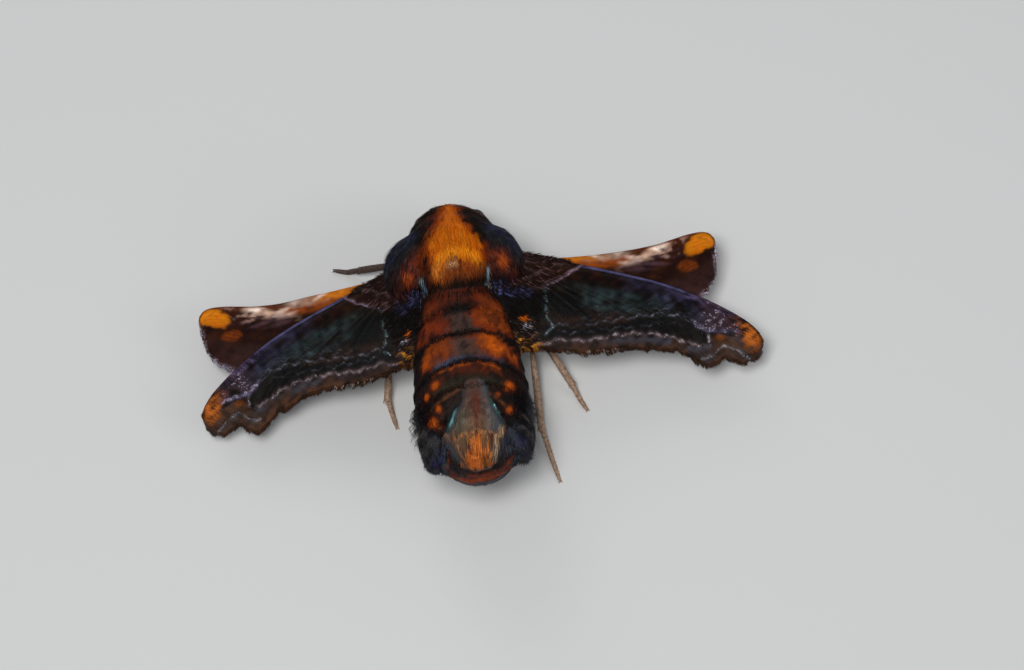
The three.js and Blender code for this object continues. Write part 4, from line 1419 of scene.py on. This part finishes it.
# Flat scales over the blade: the stored colours, pale scales sprinkled where the frost is thick, and
# a bump that runs along the wing like rows of scales.
def scale_finish(name, pale, roughness):
    material = new_material(name)
    place = add_node(material, "TexCoord", {}).outputs["Object"]
    specks = add_node(material, "TexVoronoi", {"Scale": 1 / (0.13 * MM), "Vector": place}).outputs
    parts = add_node(material, "SeparateColor", {"Color": specks["Color"]}).outputs
    less = add_node(material, "Math", {0: add_stored(material, "frost")["Fac"], 1: parts["Red"]})
    less.operation = "SUBTRACT"
    soft = {"Value": less.outputs["Value"], "From Min": 0.0, "From Max": 0.15, "To Max": 0.7}
    amount = add_node(material, "MapRange", soft).outputs["Result"]
    mixed = add_node(material, "Mix", {"Factor": amount})
    mixed.data_type = "RGBA"
    fill_in(mixed, {"A": add_stored(material, "wing_colour")["Color"], "B": (*pale, 1)})
    inputs = {
        "Roughness": roughness, "Specular IOR Level": 0.05, "Base Color": mixed.outputs["Result"],
        "Normal": add_bump(material, specks["Distance"], 0.7, 0.04)
    }
    return finish_shader(material, inputs)


SCALE_PALE = {"forewing": paint(158, 148, 164), "hindwing": paint(150, 120, 110)}
finishes = {kind: scale_finish(f"{kind}_scales", SCALE_PALE[kind], 0.4) for kind in SCALE_PALE}
vane_finish = dressed("wing_vanes", "coat_colour", 0.45, 0.2, 0.01, 0.0, (1, 1, 1), 0.06)

for node, (plan, hang) in WINGS.items():
    kind = node.split("_")[0]
    is_fore = kind == "forewing"
    marks = forewing_marks if is_fore else hindwing_marks
    fringe = FRINGE[kind]
    seed = 60 + list(WINGS).index(node)

    # The blade's own share of the outline stops short of the fringe, along a slightly scalloped edge.
    def on_blade(along, down):
        span = along * BLADE_SPAN
        long_way = chord_length(plan, span) + 0.6
        waves = 0.08 * np.sin(along * 130) + 0.06 * np.sin(along * 61)
        longer = is_fore * 0.25 * within(along, 0.28, 0.6, 0.08)
        longer = longer + hang["behind"] * within(along, 0.55, 0.8, 0.06)
        edge = 1 - (fringe + waves - longer) / long_way
        ahead = hang["ahead"] * within(along, 0.16, 0.56, 0.1) / long_way
        return span, down * edge - (1 - down) * ahead

    def blade_place(along, down):
        span, chord = on_blade(along, down)
        return wing_place(plan, hang, span, chord, wing_relief(plan, span, chord, is_fore))

    def blade_ways(along, down):
        here = blade_place(along, down)
        outward = blade_place(np.minimum(along + 0.004, 1.004), down) - here
        rearward = blade_place(along, down + 0.004) - here
        outward = unit(outward)
        rearward = unit(rearward)
        upward = np.cross(outward, rearward)
        upward *= np.sign(upward[:, 2])[:, None]
        return here, outward, rearward, unit(upward)

    # A piece of scales or hairs rooted in the blade at the present span and chord.
    def scales(ending, places, lay, lengths, widths, lifts, hug, colours, build, tip_shade):
        on_map = np.stack([span, chord], 1) * (1 - 2 * MAP_EDGE) + MAP_EDGE
        name = f"{node}_{ending}"
        sizes = (lengths, widths, lifts, hug)
        piece = blades(name, places * MM + waist, upward, lay, on_map, *sizes, colours, build, tip_shade)
        complete(piece, vane_finish, f"{kind}_scales")

    cells = CELLS[kind]
    bpy.ops.object.select_all(action="DESELECT")
    bpy.ops.mesh.primitive_grid_add(x_subdivisions=cells[0], y_subdivisions=cells[1], size=1)
    blade = bpy.context.object
    blade.name = f"{node}_blade"
    flat = read_points(blade.data)
    along, down = flat[:, 0] + 0.5, 0.5 - flat[:, 1]
    span, chord = on_blade(along, down)
    drawn = blade_place(along, down)
    write_points(blade.data, drawn * MM + waist)
    if hang["sign"] < 0:
        edit_whole(bpy.ops.mesh.flip_normals)
    colours, frost = marks(plan, span, chord, drawn)
    store_colours(blade.data, "wing_colour", colours)
    blade.data.attributes.new("frost", "FLOAT", "POINT").data.foreach_set("value", frost.astype(np.float32))
    wall = blade.modifiers.new("wall", "SOLIDIFY")
    wall.thickness = 0.16 * MM
    wall.offset = 0
    apply_all(blade)
    bpy.ops.object.shade_smooth()
    complete(blade, finishes[kind], f"{kind}_scales", node)

    # Flat scales lie over the blade's upper side, pointing outwards and back.
    chance = np.random.default_rng(seed)
    count = VANES[kind]
    along, down = chance.uniform(0.01, 0.995, count), chance.uniform(0.0, 0.99, count)
    span, chord = on_blade(along, down)
    here, outward, rearward, upward = blade_ways(along, down)
    colours, frost = marks(plan, span, chord, here)
    pale = chance.uniform(0, 1, count) < np.clip(frost - 0.05, 0, 1) * 0.6
    colours[pale] = SCALE_PALE[kind] * chance.uniform(0.4, 1.1, pale.sum())[:, None]
    colours *= chance.uniform(0.6, 1.45, count)[:, None]
    lay = outward * 0.8 + rearward * (0.25 + 0.5 * down[:, None]) + chance.normal(size=(count, 3)) * 0.12
    lengths = chance.uniform(0.2, 0.38, count)
    widths = chance.uniform(0.045, 0.075, count)
    lifts = chance.uniform(3, 13, count)
    scales("vanes", here + upward * 0.07, lay, lengths, widths, lifts, 0.0, colours, "scale", 1.1)

    # The fringe: narrow scales standing out from the blade's edge, in two layers, along the hind
    # margin and round the tip.
    count = FRINGE_SCALES[kind]
    along = chance.uniform(0.03, 1, count)
    down = np.ones(count)
    tip = np.arange(count) % 8 == 0
    along[tip] = 1
    down[tip] = chance.uniform(0.02, 1, tip.sum())
    span, chord = on_blade(along, down)
    here, outward, rearward, upward = blade_ways(along, down)
    lay = rearward + outward * 0.25
    lay[tip] = outward[tip] + rearward[tip] * 0.3
    waves = 0.12 * unevenness(here[:, :2], 0.5, seed)[:, None]
    lay += chance.normal(size=(count, 3)) * 0.13 + waves * outward
    colours, frost = marks(plan, span, chord, here)
    if is_fore:
        colours = lay_on(colours, paint(70, 46, 32), np.full(count, 0.5))
        pale_tips = within(span, 0.22, 0.4, 0.03) * (chance.uniform(0, 1, count) < 0.2)
        colours = lay_on(colours, paint(176, 164, 156), 0.7 * pale_tips)
    else:
        outer = ease(span, 0.76, 0.9) * ease(chord, 0.1, 0.3)
        colours = lay_on(colours, paint(198, 190, 210), 0.9 * outer * (chance.uniform(0, 1, count) < 0.8))
    colours *= chance.uniform(0.6, 1.4, count)[:, None]
    longer = 1 + 0.22 * unevenness(here[:, :2], 0.8, seed + 3)
    lengths = (fringe + 0.12) * chance.uniform(0.5, 1.15, count) * longer
    lengths[tip] *= 0.6
    places = here - rearward * 0.08 + upward * chance.uniform(-0.07, 0.06, count)[:, None]
    widths = chance.uniform(0.03, 0.055, count)
    lifts = chance.uniform(-6, 6, count)
    scales("fringe", places, lay, lengths, widths, lifts, 0.0, colours, "short", 0.9)

    # Long hairs spread from under the shoulder flap over the root of each forewing, and stand a
    # little ahead of its leading edge.
    if not is_fore:
        continue
    count = ROOT_HAIRS
    along = 0.004 + 0.25 * chance.beta(1.0, 1.5, count)
    down = chance.uniform(0, 0.98, count)
    front = np.arange(count) % 4 == 0
    down[front] = chance.uniform(0, 0.05, front.sum())
    along[front] = chance.uniform(0.004, 0.27, front.sum())
    kept = along < np.interp(down, [0, 0.3, 0.6, 1], [0.27, 0.2, 0.13, 0.1])
    along, down, front = along[kept], down[kept], front[kept]
    count = len(along)
    span, chord = on_blade(along, down)
    here, outward, rearward, upward = blade_ways(along, down)
    lay = outward + rearward * np.interp(down, [0, 0.12, 0.5, 1], [-0.1, 0.35, 0.6, 0.5])[:, None]
    lay[front] = outward[front] - rearward[front] * chance.uniform(0.1, 0.55, front.sum())[:, None]
    lay += chance.normal(size=(count, 3)) * 0.14
    lay = unit(lay)
    lengths = chance.uniform(0.6, 1.25, count)
    middle = here + lay * lengths[:, None] * 0.5
    colours, frost = marks(plan, span + 0.018, chord, middle)
    colours = lay_on(colours, paint(34, 22, 17), np.where(front, 0.8, 0.3))
    pinkish = (chance.uniform(0, 1, count) < 0.14) & ((chord < 0.36) | (chord > 0.68))
    colours[pinkish] = paint(122, 92, 94) * chance.uniform(0.3, 0.85, pinkish.sum())[:, None]
    colours *= chance.uniform(0.75, 1.25, count)[:, None]
    widths = chance.uniform(0.03, 0.05, count)
    lifts = chance.uniform(6, 20, count)
    scales("root_hair", here + upward * 0.05, lay, lengths, widths, lifts, 0.04, colours, "long", 1.1)

# ---- Legs ----
# Six jointed legs: a thick upper leg, a shin with spurs at its end, and a thin foot of five short
# joints that lies on the floor and ends in two claws. The upper legs start under the body's coat.
LEG_SCALES = 1300
UPPER_SHARE = 0.45
# The hip, the knee, the ankle and the toe of each leg.
LEGS = {
    "fore_left": [[-2.6, 5.4, 3.4], [-5.8, 6.0, 4.0], [-9.5, 7.0, 1.4], [-12.6, 7.9, 0.2]],
    "fore_right": [[2.6, 5.4, 3.4], [5.0, 6.4, 3.6], [5.9, 7.4, 1.4], [6.0, 8.8, 0.2]],
    "mid_left": [[-2.6, 2.2, 3.2], [-7.2, -0.5, 4.4], [-8.5, -7.2, 1.2], [-7.9, -10.3, 0.2]],
    "mid_right": [[2.6, 2.2, 3.2], [6.4, -1.2, 4.5], [10.0, -8.0, 1.3], [11.4, -11.0, 0.2]],
    "hind_left": [[-2.4, -0.2, 4.0], [-5.6, -3.4, 3.0], [-4.4, -9.6, 1.1], [-4.2, -13.6, 0.2]],
    "hind_right": [[2.4, -0.2, 4.0], [6.6, -4.0, 3.2], [6.5, -12.4, 1.4], [7.7, -18.2, 0.2]]
}
# The fore legs and their scales are painted dark brown, as shade; the mid and hind legs are tan.
leg_tan = horn("leg_scales_tan", paint(118, 90, 70), paint(172, 142, 118), 0.55, 0.25)
leg_painted_shade = horn("leg_scales_painted_shade", paint(48, 34, 30), paint(84, 62, 52), 0.55, 0.25)
leg_coat_paints = {"fore": paint(72, 54, 48), "mid": paint(168, 138, 114), "hind": paint(162, 136, 120)}

for leg, joints in LEGS.items():
    hip, knee, ankle, toe = (np.array(joint) for joint in joints)
    heel = toe + (ankle - toe) * np.array([0.45, 0.45, 0])
    shin_way = (ankle - knee) / np.linalg.norm(ankle - knee)
    sideways = np.cross(shin_way, [0, 0, 1])
    sideways /= np.linalg.norm(sideways)
    toe_way = (toe - heel) / np.linalg.norm(toe - heel)
    parts = [
        rod(
            "upper", [hip, hip + (knee - hip) * 0.5, knee, knee + shin_way * 0.15],
            [0.42, 0.52, 0.5, 0.36, 0.12], 26, 4
        ),
        rod(
            "shin", [knee - shin_way * 0.1, knee + (ankle - knee) * 0.5, ankle, ankle + shin_way * 0.1],
            [0.2, 0.34, 0.38, 0.36, 0.26], 26, 4
        ),
        rod(
            "foot",
            [ankle - shin_way * 0.1, (ankle + heel) / 2, heel, (heel + toe) / 2, toe - toe_way * 0.12],
            [0.33, 0.3, 0.28, 0.26, 0.23, 0.13], 46, 4, 0.22
        ),
    ]
    spurs = [(0.96, 0.85), (0.62, 0.7)] if leg.startswith("hind") else [(0.96, 0.85)]
    for at, reach in spurs:
        start = knee + (ankle - knee) * at
        for turn_out in (-1, 1):
            tip_place = start + shin_way * reach + sideways * turn_out * 0.42
            tip_place[2] = max(tip_place[2], 0.1)
            parts.append(
                rod(
                    "spur", [start, (start + tip_place) / 2 + sideways * turn_out * 0.07, tip_place],
                    [0.13, 0.1, 0.02], 8, 2
                )
            )
    toe_side = np.array([-toe_way[1], toe_way[0], 0])
    for turn_out in (-1, 1):
        bent = toe - toe_way * 0.2 + toe_side * turn_out * 0.14
        hook = toe + toe_side * turn_out * 0.16
        hook[2] = 0.07
        parts.append(
            rod("claw", [toe - toe_way * 0.25, bent + toe_way * 0.12, hook], [0.08, 0.06, 0.015], 8, 2)
        )
    limb_piece = joined(f"leg_{leg}", parts)
    low = read_points(limb_piece.data)
    low[:, 2] = np.maximum(low[:, 2], 0)
    write_points(limb_piece.data, low)
    limb_piece.data.materials.clear()
    leg_horn = leg_painted_shade if leg.startswith("fore") else leg_tan
    complete(limb_piece, leg_horn, "leg", f"femur_{leg}", f"tibia_{leg}", f"tarsus_{leg}")

    # Short flat scales along the upper leg and the shin.
    chance = np.random.default_rng(90 + list(LEGS).index(leg))
    count = LEG_SCALES
    share = chance.uniform(0, 1, count)
    upper = share < UPPER_SHARE
    part = np.where(upper, share / UPPER_SHARE, (share - UPPER_SHARE) / 0.55)[:, None]
    start = np.where(upper[:, None], hip, knee)
    end = np.where(upper[:, None], knee, ankle)
    axis = unit(end - start)
    aside = unit(np.cross(axis, [0.0, 0.0, 1.0]))
    above = np.cross(aside, axis)
    angle = chance.uniform(0, 2 * math.pi, count)[:, None]
    outward = aside * np.cos(angle) + above * np.sin(angle)
    girth = np.where(
        upper, np.interp(part[:, 0], [0, 0.5, 1], [0.42, 0.52, 0.4]),
        np.interp(part[:, 0], [0, 0.5, 1], [0.3, 0.36, 0.31])
    )
    here = start + (end - start) * part + outward * girth[:, None] * 0.96
    tint = leg_coat_paints[leg.split("_")[0]]
    lay = axis + chance.normal(size=(count, 3)) * 0.12
    on_map = np.stack([share, angle[:, 0] / 6.2832], 1) * (1 - 2 * MAP_EDGE) + MAP_EDGE
    lengths = chance.uniform(0.22, 0.42, count)
    widths = chance.uniform(0.03, 0.055, count)
    sizes = (lengths, widths, chance.uniform(4, 18, count), 0.0)
    colours = tint[None] * chance.uniform(0.5, 1.5, count)[:, None]
    name = f"leg_{leg}_coat"
    piece = blades(name, here * MM + waist, outward, lay, on_map, *sizes, colours, "scale", 1.15)
    complete(piece, plate_scales, "leg")

# ---- The floor and the lights ----
# A plain pale floor, a broad soft lamp over the moth's back, one at each side and a pale room.
bpy.ops.mesh.primitive_plane_add(size=3)
floor = bpy.context.object
floor.name = "studio_floor"
floor_look = {"Base Color": (0.62, 0.62, 0.61, 1), "Roughness": 0.8}
floor.data.materials.append(finish_shader(new_material("pale_floor"), floor_look))


def soft_lamp(name, place, size, power):
    bpy.ops.object.light_add(type="AREA", location=place)
    lamp = bpy.context.object
    lamp.name = name
    lamp.data.size = size
    lamp.data.energy = power
    lamp.rotation_euler = (-Vector(place)).to_track_quat("-Z", "Y").to_euler()


soft_lamp("key_lamp", (-0.06, -0.1, 0.42), 0.14, 1.15)
soft_lamp("side_lamp", (0.45, -0.2, 0.3), 0.3, 0.5)
soft_lamp("back_lamp", (-0.1, 0.5, 0.35), 0.3, 0.5)
room = bpy.data.worlds.new("pale_room")
room.use_nodes = True
room.node_tree.nodes["Background"].inputs["Color"].default_value = (0.9, 0.93, 1.0, 1)
room.node_tree.nodes["Background"].inputs["Strength"].default_value = 0.28
bpy.context.scene.world = room
bpy.context.scene.view_settings.view_transform = "Standard"
